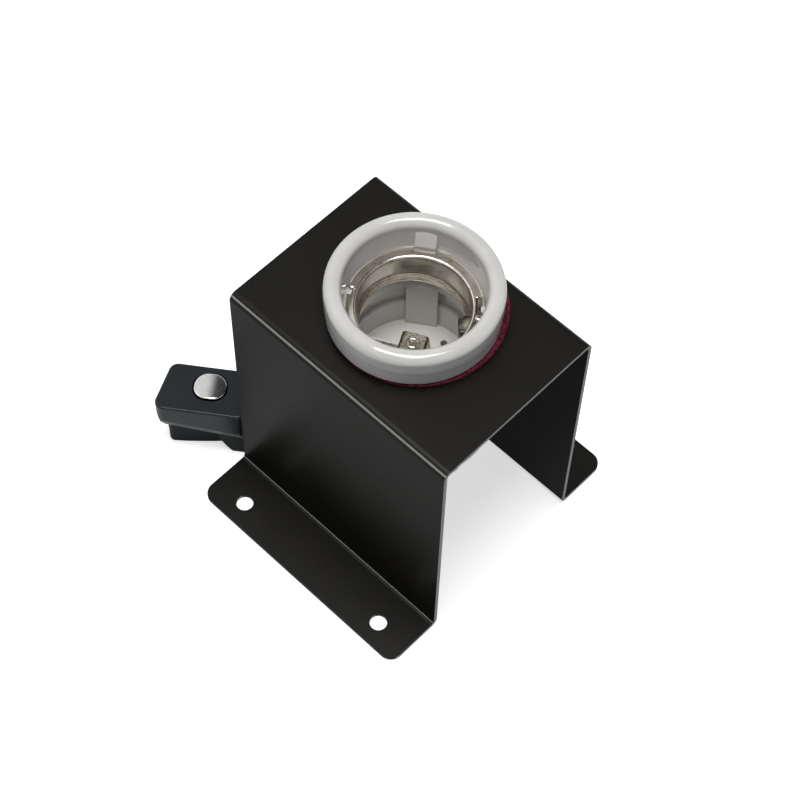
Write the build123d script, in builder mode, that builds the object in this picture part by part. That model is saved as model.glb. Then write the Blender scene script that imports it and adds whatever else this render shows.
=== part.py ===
from build123d import *
import os
from math import cos, radians, sin, tan

os.makedirs("parts", exist_ok=True)

# Bracket, folded from one steel sheet
plate_length = 100.0
leg_spread = 72.0
bracket_height = 112.0
flange_width = 22.5
sheet = 1.5
bend_radius = 1.5
flange_corner_radius = 5.0
fixing_hole_diameter = 6.5
fixing_hole_from_leg = 14.1
fixing_hole_spacing = 70.6

# Porcelain body: an upright axis, a collar above the plate and a base below it
socket_x = 3.0
socket_y = 1.0
body_diameter = 61.0
rim_above_plate = 17.0
rim_radius = 3.1
rim_band_step = 0.4
rim_bulge_height = 8.0
mouth_depth = 13.0
skirt_gap = 0.4
neck_radius = 23.4
neck_below_plate = 4.5
base_bottom = 53.0
recess_depth = 13.0
floor_thickness = 9.0
step_above_floor = 11.0
cover_thickness = 3.0
edge_round = 1.0
fit_gap = 0.2
plate_hole_gap = 0.4

# Gasket under the collar, a little off centre
gasket_thickness = 2.0
gasket_outer_radius = 31.6
gasket_inner_radius = 25.2
gasket_shift = 1.7

# Screw shell for an E40 lamp cap: thread crest and root radii inside, and pitch
shell_sheet = 0.5
shell_crest_radius = 19.7
shell_root_radius = 18.5
thread_pitch = 6.35
shell_height = 13.6
plain_band = 9.6
shell_flange_radius = 23.0
lip_radius = 0.9
rivet_inset = 0.9
rivet_head_diameter = 2.6
rivet_head_height = 0.8
rivet_shank_diameter = 1.4
rivet_length = 4.6

# Contact chamber in the base
ledge_radius = 19.4
ledge_height = 3.7
upper_chamber_radius = 23.0
lower_chamber_radius = 21.4
pillar_width = 11.3
pillar_distance = 19.2
pedestal_width = 7.5
recess_radius = 24.0
vent_radius = 16.0
vent_diameter = 2.6

# Angles of the inner parts round the socket's axis, in degrees
lug_angle = 34.0
contact_angle = 118.0
shell_rivet_angle = 114.0
grip_angle = -46.0
grip_rivet_angle = -60.0
key_hole_angles = (119.0, -49.5)
neutral_angle = 286.0
clamp_angle = 76.0
vent_angle = -2.0

# Lug that keys the shell, and the small key hole beside the rivet
lug_width = 7.4
lug_inner_radius = 21.6
lug_height = 8.2
key_hole_diameter = 2.6
notch_radius = 1.5

# Centre contact, a folded strip
contact_rise = 7.5
contact_sheet = 0.8
contact_width = 9.0
contact_half_length = 4.3
contact_strip_width = 5.0
riser_gap = 0.5
run_above_floor = 9.5
fold_slope = 0.9
eyelet_radius = 2.4
eyelet_bore = 1.2
eyelet_proud = 0.9
contact_travel = 1.5
backing_sheet = 0.5
backing_width = 6.0

# Terminals in the recess
terminal_length = 8.0
terminal_width = 8.0
terminal_radius = 16.0
terminal_height = 5.2
terminal_screw_diameter = 3.0
terminal_head_diameter = 5.6
terminal_head_height = 1.8
terminal_washer_thickness = 0.6

# Grip spring and the strap from the shell
grip_width = 6.6
grip_tab_reach = 8.5
grip_sheet = 0.5
grip_window_drop = 8.6
grip_drop_radius = 21.4
grip_drop_depth = 9.2
grip_belly_depth = 12.2
grip_heel_depth = 15.6
grip_toe_depth = 17.6
grip_belly_radius = 15.3
grip_corner_radius = 1.4
strap_width = 5.0
strap_sheet = 0.8
strap_radius = 21.9

# Long clamp screws
clamp_radius = 27.4
clamp_screw_diameter = 3.0
clamp_head_diameter = 5.6
clamp_head_height = 2.2
clamp_washer_diameter = 6.0
clamp_washer_thickness = 0.6
clamp_insert_diameter = 4.0
clamp_insert_length = 6.0

# Cable gland, lead and cores
gland_x = 13.06
gland_y = 0.83
gland_thread_diameter = 12.0
gland_hex = 15.0
gland_flange_height = 5.0
gland_cap_height = 8.5
gland_cap_end_diameter = 9.6
locknut_height = 3.0
gland_inner_length = 4.5
lead_diameter = 7.0
core_diameter = 2.4
sheath_end = 46.0

# Connector on the lead: its own frame has x from the free end to the lead, y across
connector_x = -45.23
connector_y = 80.85
connector_angle = -53.93
connector_length = 38.0
connector_nose = -1.9
nose_slant = 3.9
connector_width = 20.7
connector_height = 29.0
connector_corner_radius = 3.6
tail_taper_start = 29.2
tail_taper_in = 1.35
tail_half_width = 8.2
parting_at_nose = 15.2
parting_at_tail = 10.4
parting_gap = 0.3
nose_undercut = 3.9
bevel_in = 1.5
bevel_up = 4.6
grip_inset_nose = 3.0
grip_inset_middle = 4.2
grip_inset_waist = 5.6
shoulder_inset = 2.0
grip_waist = 20.0
shoulder_top = 19.6
shoulder_foot = 25.2
cable_height = 10.0
sleeve_spacing = 6.4
sleeve_height = 7.4
sleeve_outer_radius = 2.2
sleeve_inner_radius = 1.6
sleeve_start = 1.5
sleeve_length = 10.5

# Press button of the latch
button_centre = 16.4
button_across = 1.4
button_length = 12.4
button_width = 11.0
button_corner_radius = 5.2
button_crown = 0.8
button_proud = 1.0
button_travel = 2.0
button_gap = 0.6
button_skin = 3.0
stirrup_thickness = 1.2
stirrup_width = 10.6
stirrup_leg = 1.0
stirrup_foot_width = 12.6
stirrup_foot_top = 16.8
stirrup_bottom = 15.0
stirrup_bar_top = 17.9
tongue_slot_width = 7.0
tongue_slot_height = 3.0
tongue_slot_bottom = 17.5
spring_foot = 8.0
spring_radius = 1.6
spring_wire = 0.5
spring_pitch = 1.4

# Screws of the connector
case_screw_along = 28.4
case_screw_spacing = 11.0
case_screw_diameter = 2.2
case_head_diameter = 4.0
case_head_bottom = 0.6
case_head_top = 2.4
case_screw_top = 19.0

# Strain relief boot
boot_length = 20.0
boot_root_radius = 6.4
boot_end_radius = 4.5
boot_grip_length = 8.0

# Heights and radii that follow
plate_top = bracket_height
plate_bottom = plate_top - sheet
leg_inner = leg_spread / 2 - sheet
body_radius = body_diameter / 2
collar_bottom = plate_top + gasket_thickness
rim_top = plate_top + rim_above_plate
shell_top = rim_top - mouth_depth
shell_seat = shell_top - shell_sheet
shell_bottom = shell_top - shell_height
shell_bore_radius = shell_crest_radius + shell_sheet + 0.7
skirt_foot_radius = shell_flange_radius + skirt_gap
rivet_radius = shell_flange_radius - rivet_inset
contact_riser = terminal_radius + terminal_length / 2 + contact_sheet / 2 + riser_gap
neck_bottom = plate_bottom - neck_below_plate
ledge_top = shell_bottom - fit_gap
ledge_bottom = ledge_top - ledge_height
cover_bottom = base_bottom - cover_thickness
recess_roof = base_bottom + recess_depth
chamber_floor = recess_roof + floor_thickness
chamber_step = chamber_floor + step_above_floor
contact_run_height = chamber_floor + run_above_floor
contact_top = contact_run_height + contact_rise
tag_height = recess_roof - terminal_height - contact_sheet / 2
pedestal_top = contact_run_height - contact_sheet / 2
tag_bottom = tag_height - strap_sheet / 2
connector_half = connector_width / 2
boot_end = connector_length + boot_length

socket_axis = Axis((socket_x, socket_y, 0), (0, 0, 1))


def round_socket(angle, radius=0.0, height=0.0):
    """Point at this angle and radius from the socket's axis."""
    return (
        socket_x + radius * cos(radians(angle)),
        socket_y + radius * sin(radians(angle)),
        height,
    )


def radial_plane(angle):
    """Upright plane through the socket's axis: x runs outwards at this angle, y runs up."""
    out = Vector(cos(radians(angle)), sin(radians(angle)), 0)
    return Plane(origin=(socket_x, socket_y, 0), x_dir=out, z_dir=out.cross(Vector(0, 0, 1)))


def turned_plane(angle, height):
    """Level plane on the socket's axis with its x axis turned to this angle."""
    return Plane(
        origin=(socket_x, socket_y, height),
        x_dir=(cos(radians(angle)), sin(radians(angle)), 0),
        z_dir=(0, 0, 1),
    )


def connector_level(height):
    """Level plane in the connector's own frame."""
    return Plane(
        origin=(connector_x, connector_y, height),
        x_dir=(cos(radians(connector_angle)), sin(radians(connector_angle)), 0),
        z_dir=(0, 0, 1),
    )


def connector_side(offset=0.0):
    """Upright plane along the connector: x runs towards the lead, y runs up."""
    along = Vector(cos(radians(connector_angle)), sin(radians(connector_angle)), 0)
    across = along.cross(Vector(0, 0, 1))
    place = Vector(connector_x, connector_y, 0) + across * offset
    return Plane(origin=place, x_dir=along, z_dir=across)


def connector_end(along):
    """Upright plane across the connector at this length, facing the lead: y runs up."""
    level = connector_level(0)
    return Plane(origin=level.from_local_coords((along, 0, 0)), x_dir=level.y_dir, z_dir=level.x_dir)


def parting_height(along):
    """Height of the sloping joint between the connector's two shells."""
    share = (along - connector_nose) / (connector_length - connector_nose)
    return parting_at_nose + share * (parting_at_tail - parting_at_nose)


# Bracket
mid = sheet / 2
foot = leg_spread / 2 + flange_width
with BuildPart() as bracket:
    with BuildSketch(Plane.XZ):
        with BuildLine():
            FilletPolyline(
                (-foot, mid),
                (-leg_spread / 2 + mid, mid),
                (-leg_spread / 2 + mid, plate_top - mid),
                (leg_spread / 2 - mid, plate_top - mid),
                (leg_spread / 2 - mid, mid),
                (foot, mid),
                radius=bend_radius + mid,
            )
        trace(line_width=sheet)
    extrude(amount=plate_length / 2, both=True)
    outer_corners = bracket.edges().filter_by(Axis.Z).filter_by(lambda e: abs(e.center().X) > foot - 0.1)
    fillet(outer_corners, radius=flange_corner_radius)
    with Locations((0, 0, sheet)):
        with GridLocations(leg_spread + 2 * fixing_hole_from_leg, fixing_hole_spacing, 2, 2):
            Hole(fixing_hole_diameter / 2, depth=sheet)
    with Locations((socket_x, socket_y, plate_top)):
        Hole(neck_radius + plate_hole_gap, depth=sheet)
    with BuildSketch(turned_plane(clamp_angle, plate_bottom)):
        with PolarLocations(clamp_radius, 2):
            Circle(clamp_screw_diameter / 2 + fit_gap)
    extrude(amount=sheet, mode=Mode.SUBTRACT)
bracket.part.label = "bracket"
export_step(bracket.part, "parts/bracket.step")

# Braided gasket, moved aside under the collar
with BuildPart() as gasket:
    with BuildSketch(Plane.XY.offset(plate_top)):
        with Locations((socket_x + gasket_shift, socket_y)):
            Circle(gasket_outer_radius)
            Circle(gasket_inner_radius, mode=Mode.SUBTRACT)
    extrude(amount=gasket_thickness)
    fillet(gasket.edges().filter_by(GeomType.CIRCLE).sort_by(SortBy.RADIUS)[-2:], radius=0.6)
    with BuildSketch(turned_plane(clamp_angle, plate_top)):
        with PolarLocations(clamp_radius, 2):
            Circle(clamp_screw_diameter / 2 + fit_gap)
    extrude(amount=gasket_thickness, mode=Mode.SUBTRACT)
gasket.part.label = "gasket"
export_step(gasket.part, "parts/gasket.step")

# Porcelain collar: rounded rim, flared skirt, seat for the shell and neck through the plate
rim_centre = body_radius - rim_radius
rim_height = rim_top - rim_radius
bulge_bottom = rim_top - rim_bulge_height
band_radius = body_radius - rim_band_step
with BuildPart() as porcelain_collar:
    with BuildSketch(radial_plane(0)):
        with BuildLine():
            Polyline(
                (skirt_foot_radius, shell_top - fit_gap),
                (skirt_foot_radius, shell_seat),
                (shell_bore_radius, shell_seat),
                (shell_bore_radius, neck_bottom),
                (neck_radius, neck_bottom),
                (neck_radius, collar_bottom),
                (band_radius - edge_round, collar_bottom),
            )
            RadiusArc(
                (band_radius - edge_round, collar_bottom),
                (band_radius, collar_bottom + edge_round),
                -edge_round,
            )
            Polyline(
                (band_radius, collar_bottom + edge_round),
                (band_radius, bulge_bottom - rim_band_step),
                (body_radius, bulge_bottom + rim_band_step),
                (body_radius, rim_height),
            )
            CenterArc((rim_centre, rim_height), rim_radius, 0, 180)
            Spline(
                (rim_centre - rim_radius, rim_height),
                (skirt_foot_radius + 0.35, shell_top + 4.2),
                (skirt_foot_radius, shell_top - fit_gap),
                tangents=[(0, -1), (-0.05, -1)],
            )
        make_face()
    revolve(axis=socket_axis)
    # Moulded lug over the shell's flange, leaning back into the flare above
    lug_outer = skirt_foot_radius + 2.1
    with BuildSketch(radial_plane(lug_angle)):
        with BuildLine():
            Polyline(
                (lug_inner_radius, shell_top + 0.1),
                (lug_inner_radius, shell_top + 0.4 * lug_height),
                (skirt_foot_radius + 0.7, shell_top + lug_height),
                (lug_outer, shell_top + lug_height),
                (lug_outer, shell_top + 0.1),
                close=True,
            )
        make_face()
    extrude(amount=lug_width / 2, both=True)
    # Key holes in the skirt beside the shell's rivets
    for angle in key_hole_angles:
        with BuildSketch(Plane(
            origin=round_socket(angle, skirt_foot_radius - 1.5, shell_top + 1.0),
            x_dir=(0, 0, 1),
            z_dir=radial_plane(angle).x_dir,
        )):
            Circle(key_hole_diameter / 2)
        extrude(amount=3.6, mode=Mode.SUBTRACT)
    # Channels in the neck for the grip spring and the strap
    with BuildSketch(turned_plane(grip_angle, neck_bottom)):
        with Locations((grip_drop_radius, 0)):
            Rectangle(1.9, grip_width + 2 * fit_gap)
    extrude(amount=shell_seat - neck_bottom, mode=Mode.SUBTRACT)
    with BuildSketch(turned_plane(neutral_angle, neck_bottom)):
        with Locations((strap_radius, 0)):
            Rectangle(strap_sheet + 2 * fit_gap, strap_width + 2 * fit_gap)
    extrude(amount=shell_seat - neck_bottom, mode=Mode.SUBTRACT)
    # Blind holes for the rivets and for the clamp screws' inserts
    for angle in (shell_rivet_angle, grip_rivet_angle):
        with Locations(round_socket(angle, rivet_radius, shell_seat)):
            Hole(rivet_shank_diameter / 2, depth=rivet_length)
    with BuildSketch(turned_plane(clamp_angle, collar_bottom)):
        with PolarLocations(clamp_radius, 2):
            Circle(clamp_insert_diameter / 2)
    extrude(amount=clamp_insert_length, mode=Mode.SUBTRACT)
porcelain_collar.part.label = "porcelain_collar"
export_step(porcelain_collar.part, "parts/porcelain_collar.step")

# Porcelain base: contact chamber above, terminal recess below
with BuildPart() as porcelain_base:
    with BuildSketch(radial_plane(0)):
        with BuildLine():
            Polyline(
                (0, recess_roof),
                (recess_radius, recess_roof),
                (recess_radius, base_bottom),
                (body_radius, base_bottom),
                (body_radius, plate_bottom),
                (neck_radius + fit_gap, plate_bottom),
                (neck_radius + fit_gap, neck_bottom - fit_gap),
                (shell_bore_radius, neck_bottom - fit_gap),
                (shell_bore_radius, ledge_top),
                (ledge_radius, ledge_top),
                (ledge_radius, ledge_bottom),
                (upper_chamber_radius, ledge_bottom),
                (upper_chamber_radius, chamber_step),
                (lower_chamber_radius, chamber_step),
                (lower_chamber_radius, chamber_floor),
                (0, chamber_floor),
                close=True,
            )
        make_face()
    revolve(axis=socket_axis)
    outer_edges = porcelain_base.edges().filter_by(GeomType.CIRCLE).filter_by(
        lambda e: e.radius > body_radius - 0.1
    )
    fillet(outer_edges, radius=edge_round)
    # Two pillars, a pedestal under the contact strip
    with BuildSketch(turned_plane(lug_angle, chamber_floor)):
        with PolarLocations((pillar_distance + body_radius - 6) / 2, 2):
            Rectangle(body_radius - 6 - pillar_distance, pillar_width)
    extrude(amount=ledge_bottom - chamber_floor)
    with BuildSketch(turned_plane(contact_angle, chamber_floor)):
        with Locations((lower_chamber_radius / 2 - 3.6, 0)):
            Rectangle(lower_chamber_radius + 7.4, pedestal_width)
    extrude(amount=pedestal_top - chamber_floor)
    # Slots for the contact strip, the shell's strap and the grip spring
    with BuildSketch(turned_plane(contact_angle, recess_roof)):
        with Locations((contact_riser, 0)):
            Rectangle(contact_sheet + 4 * fit_gap, contact_strip_width + 2 * fit_gap)
    extrude(amount=contact_run_height + 1 - recess_roof, mode=Mode.SUBTRACT)
    with BuildSketch(turned_plane(contact_angle, chamber_step - 2)):
        with Locations((upper_chamber_radius, 0)):
            Rectangle(3.4, contact_strip_width - 0.4)
    extrude(amount=ledge_bottom - chamber_step, mode=Mode.SUBTRACT)
    with BuildSketch(turned_plane(neutral_angle, recess_roof)):
        with Locations((strap_radius, 0)):
            Rectangle(strap_sheet + 2 * fit_gap, strap_width + 2 * fit_gap)
    extrude(amount=neck_bottom - recess_roof, mode=Mode.SUBTRACT)
    # Holes for the clamp screws, a vent and the terminal screws
    with BuildSketch(turned_plane(clamp_angle, base_bottom)):
        with PolarLocations(clamp_radius, 2):
            Circle(clamp_screw_diameter / 2 + fit_gap)
    extrude(amount=plate_bottom - base_bottom, mode=Mode.SUBTRACT)
    with Locations(round_socket(vent_angle, vent_radius, chamber_floor)):
        Hole(vent_diameter / 2, depth=chamber_floor - recess_roof)
porcelain_base.part.label = "porcelain_base"
export_step(porcelain_base.part, "parts/porcelain_base.step")

# Porcelain cover of the terminal recess
with BuildPart() as porcelain_cover:
    with BuildSketch(Plane.XY.offset(cover_bottom)):
        with Locations((socket_x, socket_y)):
            Circle(body_radius)
    extrude(amount=cover_thickness)
    fillet(porcelain_cover.edges(), radius=edge_round)
    with BuildSketch(turned_plane(clamp_angle, cover_bottom)):
        with PolarLocations(clamp_radius, 2):
            Circle(clamp_screw_diameter / 2 + fit_gap)
    extrude(amount=cover_thickness, mode=Mode.SUBTRACT)
    with Locations((gland_x, gland_y, base_bottom)):
        Hole(gland_thread_diameter / 2 + fit_gap, depth=cover_thickness)
porcelain_cover.part.label = "porcelain_cover"
export_step(porcelain_cover.part, "parts/porcelain_cover.step")

# Screw shell: flat flange, rolled lip, wall with round thread rolls
crest = shell_crest_radius
root = shell_root_radius
first_crest = shell_top - plain_band
roll_points = [(crest - 0.2, shell_top - lip_radius)]
roll_points += [(crest - 0.1, first_crest + thread_pitch * 0.3)]
roll_points += [(crest, first_crest)]
roll_points += [(root, first_crest - thread_pitch * 0.36)]
roll_points += [(crest - 0.5, shell_bottom)]
with BuildPart() as screw_shell:
    with BuildSketch(radial_plane(0)):
        with BuildLine():
            inner_wall = Spline(*roll_points, tangents=[(0, -1), (0.3, -1)])
            outer_points = [(r + shell_sheet, h) for r, h in roll_points]
            outer_wall = Spline(*outer_points, tangents=[(0, -1), (0.3, -1)])
            Line(inner_wall @ 1, outer_wall @ 1)
            lip_centre = crest - 0.2 + lip_radius
            CenterArc((lip_centre, shell_top - lip_radius), lip_radius, 90, 90)
            Polyline(
                (lip_centre, shell_top),
                (shell_flange_radius, shell_top),
                (shell_flange_radius, shell_seat),
                (lip_centre, shell_seat),
            )
            inner_lip = lip_radius - shell_sheet
            CenterArc((lip_centre, shell_top - lip_radius), inner_lip, 90, 90)
        make_face()
    revolve(axis=socket_axis)
    # Opening for the grip spring in the wall, and its slot in the flange
    grip_window = shell_top - grip_window_drop
    with BuildSketch(turned_plane(grip_angle, shell_bottom)):
        with Locations((crest, 0)):
            Rectangle(4, grip_width + 4 * fit_gap)
    extrude(amount=grip_window - shell_bottom, mode=Mode.SUBTRACT)
    with BuildSketch(turned_plane(grip_angle, shell_seat)):
        with Locations((grip_drop_radius, 0)):
            Rectangle(1.1, grip_width + 2 * fit_gap)
    extrude(amount=shell_sheet, mode=Mode.SUBTRACT)
    for angle in (shell_rivet_angle, grip_rivet_angle):
        with Locations(round_socket(angle, rivet_radius, shell_top)):
            Hole(rivet_shank_diameter / 2, depth=shell_sheet)
    # Notches in the flange under the skirt's key holes
    for angle in key_hole_angles:
        with Locations(round_socket(angle, shell_flange_radius + 0.5, shell_top)):
            Hole(notch_radius, depth=shell_sheet)
screw_shell.part.label = "screw_shell"
export_step(screw_shell.part, "parts/screw_shell.step")

# Grip spring: tab on the flange, drop behind the wall, belly through the opening
tab_top = shell_top + grip_sheet
with BuildPart() as grip_spring:
    with BuildSketch(radial_plane(grip_angle)):
        with BuildLine():
            FilletPolyline(
                (grip_drop_radius + 1.6, shell_top + grip_sheet / 2),
                (grip_drop_radius, shell_top + grip_sheet / 2),
                (grip_drop_radius, shell_top - grip_drop_depth),
                (grip_belly_radius, shell_top - grip_belly_depth),
                (grip_belly_radius + 0.8, shell_top - grip_heel_depth),
                (grip_belly_radius + 2.4, shell_top - grip_toe_depth),
                radius=(0.4, 0.8, 1.2, 2.0),
            )
        trace(line_width=grip_sheet)
    extrude(amount=grip_width / 2, both=True)
    # Rounded corners of the belly, seen from above
    with BuildSketch(turned_plane(grip_angle, shell_top - grip_toe_depth - 0.4)):
        with Locations((grip_belly_radius + 1.4, 0)):
            Rectangle(4, grip_width + 1)
        with Locations((grip_belly_radius - 0.3 + grip_width, 0)):
            RectangleRounded(2 * grip_width, grip_width, grip_corner_radius, mode=Mode.SUBTRACT)
    extrude(amount=grip_window_drop + 2, mode=Mode.SUBTRACT)
    with BuildSketch(turned_plane(0, shell_top)):
        with BuildLine():
            CenterArc(
                (0, 0),
                (grip_drop_radius + shell_flange_radius) / 2,
                grip_rivet_angle - grip_tab_reach,
                grip_angle - grip_rivet_angle + grip_tab_reach,
            )
        trace(line_width=shell_flange_radius - grip_drop_radius + grip_sheet)
    extrude(amount=grip_sheet)
    with Locations(round_socket(grip_rivet_angle, rivet_radius, tab_top)):
        Hole(rivet_shank_diameter / 2, depth=grip_sheet)
    with Locations(round_socket(key_hole_angles[1], shell_flange_radius + 0.5, tab_top)):
        Hole(notch_radius + fit_gap, depth=grip_sheet)
grip_spring.part.label = "grip_spring"
export_step(grip_spring.part, "parts/grip_spring.step")


def rivet(angle, seat):
    """Round-headed rivet on the shell's flange."""
    with BuildPart() as made:
        with BuildSketch(Plane(origin=round_socket(angle, rivet_radius, seat))):
            Circle(rivet_head_diameter / 2)
        extrude(amount=rivet_head_height)
        fillet(made.faces().sort_by(Axis.Z)[-1].edges(), radius=rivet_head_height - 0.1)
        with BuildSketch(Plane(origin=round_socket(angle, rivet_radius, shell_seat - rivet_length))):
            Circle(rivet_shank_diameter / 2)
        extrude(amount=seat - shell_seat + rivet_length)
    return made.part


shell_rivets = Compound(children=[rivet(shell_rivet_angle, shell_top), rivet(grip_rivet_angle, tab_top)])
shell_rivets.label = "shell_rivets"
export_step(shell_rivets, "parts/shell_rivets.step")

# Strap from the shell's flange down to the neutral terminal
with BuildPart() as shell_strap:
    with BuildSketch(radial_plane(neutral_angle)):
        with BuildLine():
            FilletPolyline(
                (strap_radius, shell_seat),
                (strap_radius, tag_height),
                (terminal_radius - terminal_length / 2, tag_height),
                radius=1.0,
            )
        trace(line_width=strap_sheet)
    extrude(amount=strap_width / 2, both=True)
    with Locations(round_socket(neutral_angle, terminal_radius, tag_height + strap_sheet / 2)):
        Hole(terminal_screw_diameter / 2 + fit_gap, depth=strap_sheet)
shell_strap.part.label = "shell_strap"
export_step(shell_strap.part, "parts/shell_strap.step")

# Centre contact: tag, riser, run over the pedestal and the raised fold with rounded corners
slope = fold_slope
fold_end = contact_half_length + slope + contact_sheet / 2
with BuildPart() as centre_contact:
    with BuildSketch(radial_plane(contact_angle)):
        with BuildLine():
            FilletPolyline(
                (terminal_radius - terminal_length / 2, tag_height),
                (contact_riser, tag_height),
                (contact_riser, contact_run_height),
                (contact_half_length + slope, contact_run_height),
                (contact_half_length + slope / 2, contact_top - 3),
                radius=0.7,
            )
        trace(line_width=contact_sheet)
    extrude(amount=contact_strip_width / 2, both=True)
    with BuildSketch(radial_plane(contact_angle)):
        with BuildLine():
            FilletPolyline(
                (contact_half_length + slope / 2, contact_top - 4),
                (contact_half_length, contact_top - contact_sheet / 2),
                (-contact_half_length, contact_top - contact_sheet / 2),
                (-contact_half_length - slope, contact_run_height),
                radius=0.9,
            )
        trace(line_width=contact_sheet)
    extrude(amount=contact_width / 2, both=True)
    with BuildSketch(turned_plane(contact_angle, contact_run_height - contact_sheet)):
        Rectangle(2 * fold_end, contact_width + 1)
        RectangleRounded(
            2 * fold_end, contact_width, (contact_width - contact_strip_width) / 2, mode=Mode.SUBTRACT
        )
    extrude(amount=contact_rise + 2 * contact_sheet, mode=Mode.SUBTRACT)
    with Locations(round_socket(0, 0, contact_top)):
        Hole(eyelet_radius - 0.6, depth=contact_sheet)
    with Locations(round_socket(contact_angle, terminal_radius, tag_height + contact_sheet / 2)):
        Hole(terminal_screw_diameter / 2 + fit_gap, depth=contact_sheet)
centre_contact.part.label = "centre_contact"
export_step(centre_contact.part, "parts/centre_contact.step")

# Rolled eyelet through the contact's top
neck = eyelet_radius - 0.7
with BuildPart() as contact_eyelet:
    with BuildSketch(radial_plane(0)):
        with BuildLine():
            Polyline(
                (eyelet_bore, contact_top + 0.3),
                (eyelet_bore, contact_top - contact_sheet - 0.5),
                (neck, contact_top - contact_sheet - 0.5),
                (neck, contact_top),
                (eyelet_radius, contact_top),
                (eyelet_radius, contact_top + 0.3),
            )
            ThreePointArc(
                (eyelet_radius, contact_top + 0.3),
                ((eyelet_radius + eyelet_bore) / 2, contact_top + eyelet_proud),
                (eyelet_bore, contact_top + 0.3),
            )
        make_face()
    revolve(axis=socket_axis)
contact_eyelet.part.label = "contact_eyelet"
export_step(contact_eyelet.part, "parts/contact_eyelet.step")

# Backing leaf bowed under the contact's top
leaf_top = contact_top - contact_sheet - 0.5 - backing_sheet / 2
leaf_foot = contact_half_length - 1.2
with BuildPart() as backing_spring:
    with BuildSketch(radial_plane(contact_angle)):
        with BuildLine():
            ThreePointArc(
                (-leaf_foot, pedestal_top + 0.3),
                (0, leaf_top),
                (leaf_foot, pedestal_top + 0.3),
            )
        trace(line_width=backing_sheet)
    extrude(amount=backing_width / 2, both=True)
backing_spring.part.label = "backing_spring"
export_step(backing_spring.part, "parts/backing_spring.step")


def terminal_block(angle):
    """Brass block under the recess's roof, threaded for the terminal screw."""
    bottom = tag_height + contact_sheet / 2
    with BuildPart() as made:
        with BuildSketch(turned_plane(angle, bottom)):
            with Locations((terminal_radius, 0)):
                Rectangle(terminal_length, terminal_width)
        extrude(amount=recess_roof - bottom)
        fillet(made.edges().filter_by(Axis.Z), radius=0.6)
        with Locations(round_socket(angle, terminal_radius, bottom)):
            Hole(terminal_screw_diameter / 2, depth=terminal_height - 0.7)
    return made.part


def terminal_screw(angle):
    """Slotted cheese-head screw that clamps tag and washer from below."""
    head_top = tag_height - contact_sheet / 2 - terminal_washer_thickness
    with BuildPart() as made:
        with BuildSketch(turned_plane(angle, head_top - terminal_head_height)):
            with Locations((terminal_radius, 0)):
                Circle(terminal_head_diameter / 2)
        extrude(amount=terminal_head_height)
        fillet(made.faces().sort_by(Axis.Z)[0].edges(), radius=0.4)
        with BuildSketch(turned_plane(angle, head_top)):
            with Locations((terminal_radius, 0)):
                Circle(terminal_screw_diameter / 2)
        extrude(amount=tag_height + contact_sheet / 2 + terminal_height - 1.2 - head_top)
        with BuildSketch(turned_plane(angle, head_top - terminal_head_height)):
            with Locations((terminal_radius, 0)):
                Rectangle(0.8, terminal_head_diameter + 1)
        extrude(amount=0.8, mode=Mode.SUBTRACT)
    return made.part


def terminal_washer(angle):
    """Plain washer between the tag and the screw's head."""
    with BuildPart() as made:
        with BuildSketch(turned_plane(angle, tag_height - contact_sheet / 2 - terminal_washer_thickness)):
            with Locations((terminal_radius, 0)):
                Circle(terminal_head_diameter / 2 + 0.7)
                Circle(terminal_screw_diameter / 2 + fit_gap, mode=Mode.SUBTRACT)
        extrude(amount=terminal_washer_thickness)
    return made.part


line_terminal = terminal_block(contact_angle)
line_terminal.label = "line_terminal"
export_step(line_terminal, "parts/line_terminal.step")
neutral_terminal = terminal_block(neutral_angle)
neutral_terminal.label = "neutral_terminal"
export_step(neutral_terminal, "parts/neutral_terminal.step")
terminal_screws = Compound(children=[terminal_screw(contact_angle), terminal_screw(neutral_angle)])
terminal_screws.label = "terminal_screws"
export_step(terminal_screws, "parts/terminal_screws.step")
terminal_washers = Compound(children=[terminal_washer(contact_angle), terminal_washer(neutral_angle)])
terminal_washers.label = "terminal_washers"
export_step(terminal_washers, "parts/terminal_washers.step")


def clamp_screw(angle):
    """Long cheese-head screw from under the cover up into the collar's insert."""
    head_top = cover_bottom - clamp_washer_thickness
    with BuildPart() as made:
        with BuildSketch(turned_plane(angle, head_top - clamp_head_height)):
            with Locations((clamp_radius, 0)):
                Circle(clamp_head_diameter / 2)
        extrude(amount=clamp_head_height)
        fillet(made.faces().sort_by(Axis.Z)[0].edges(), radius=0.6)
        with BuildSketch(turned_plane(angle, head_top)):
            with Locations((clamp_radius, 0)):
                Circle(clamp_screw_diameter / 2)
        extrude(amount=collar_bottom + clamp_insert_length - 1 - head_top)
        with BuildSketch(turned_plane(angle, head_top - clamp_head_height)):
            with Locations((clamp_radius, 0)):
                Rectangle(0.9, clamp_head_diameter + 1)
        extrude(amount=1.0, mode=Mode.SUBTRACT)
    return made.part


def clamp_ring(angle, bottom, height, outer_radius, inner_radius):
    """Ring round a clamp screw: a washer or a threaded insert."""
    with BuildPart() as made:
        with BuildSketch(turned_plane(angle, bottom)):
            with Locations((clamp_radius, 0)):
                Circle(outer_radius)
                Circle(inner_radius, mode=Mode.SUBTRACT)
        extrude(amount=height)
    return made.part


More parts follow.
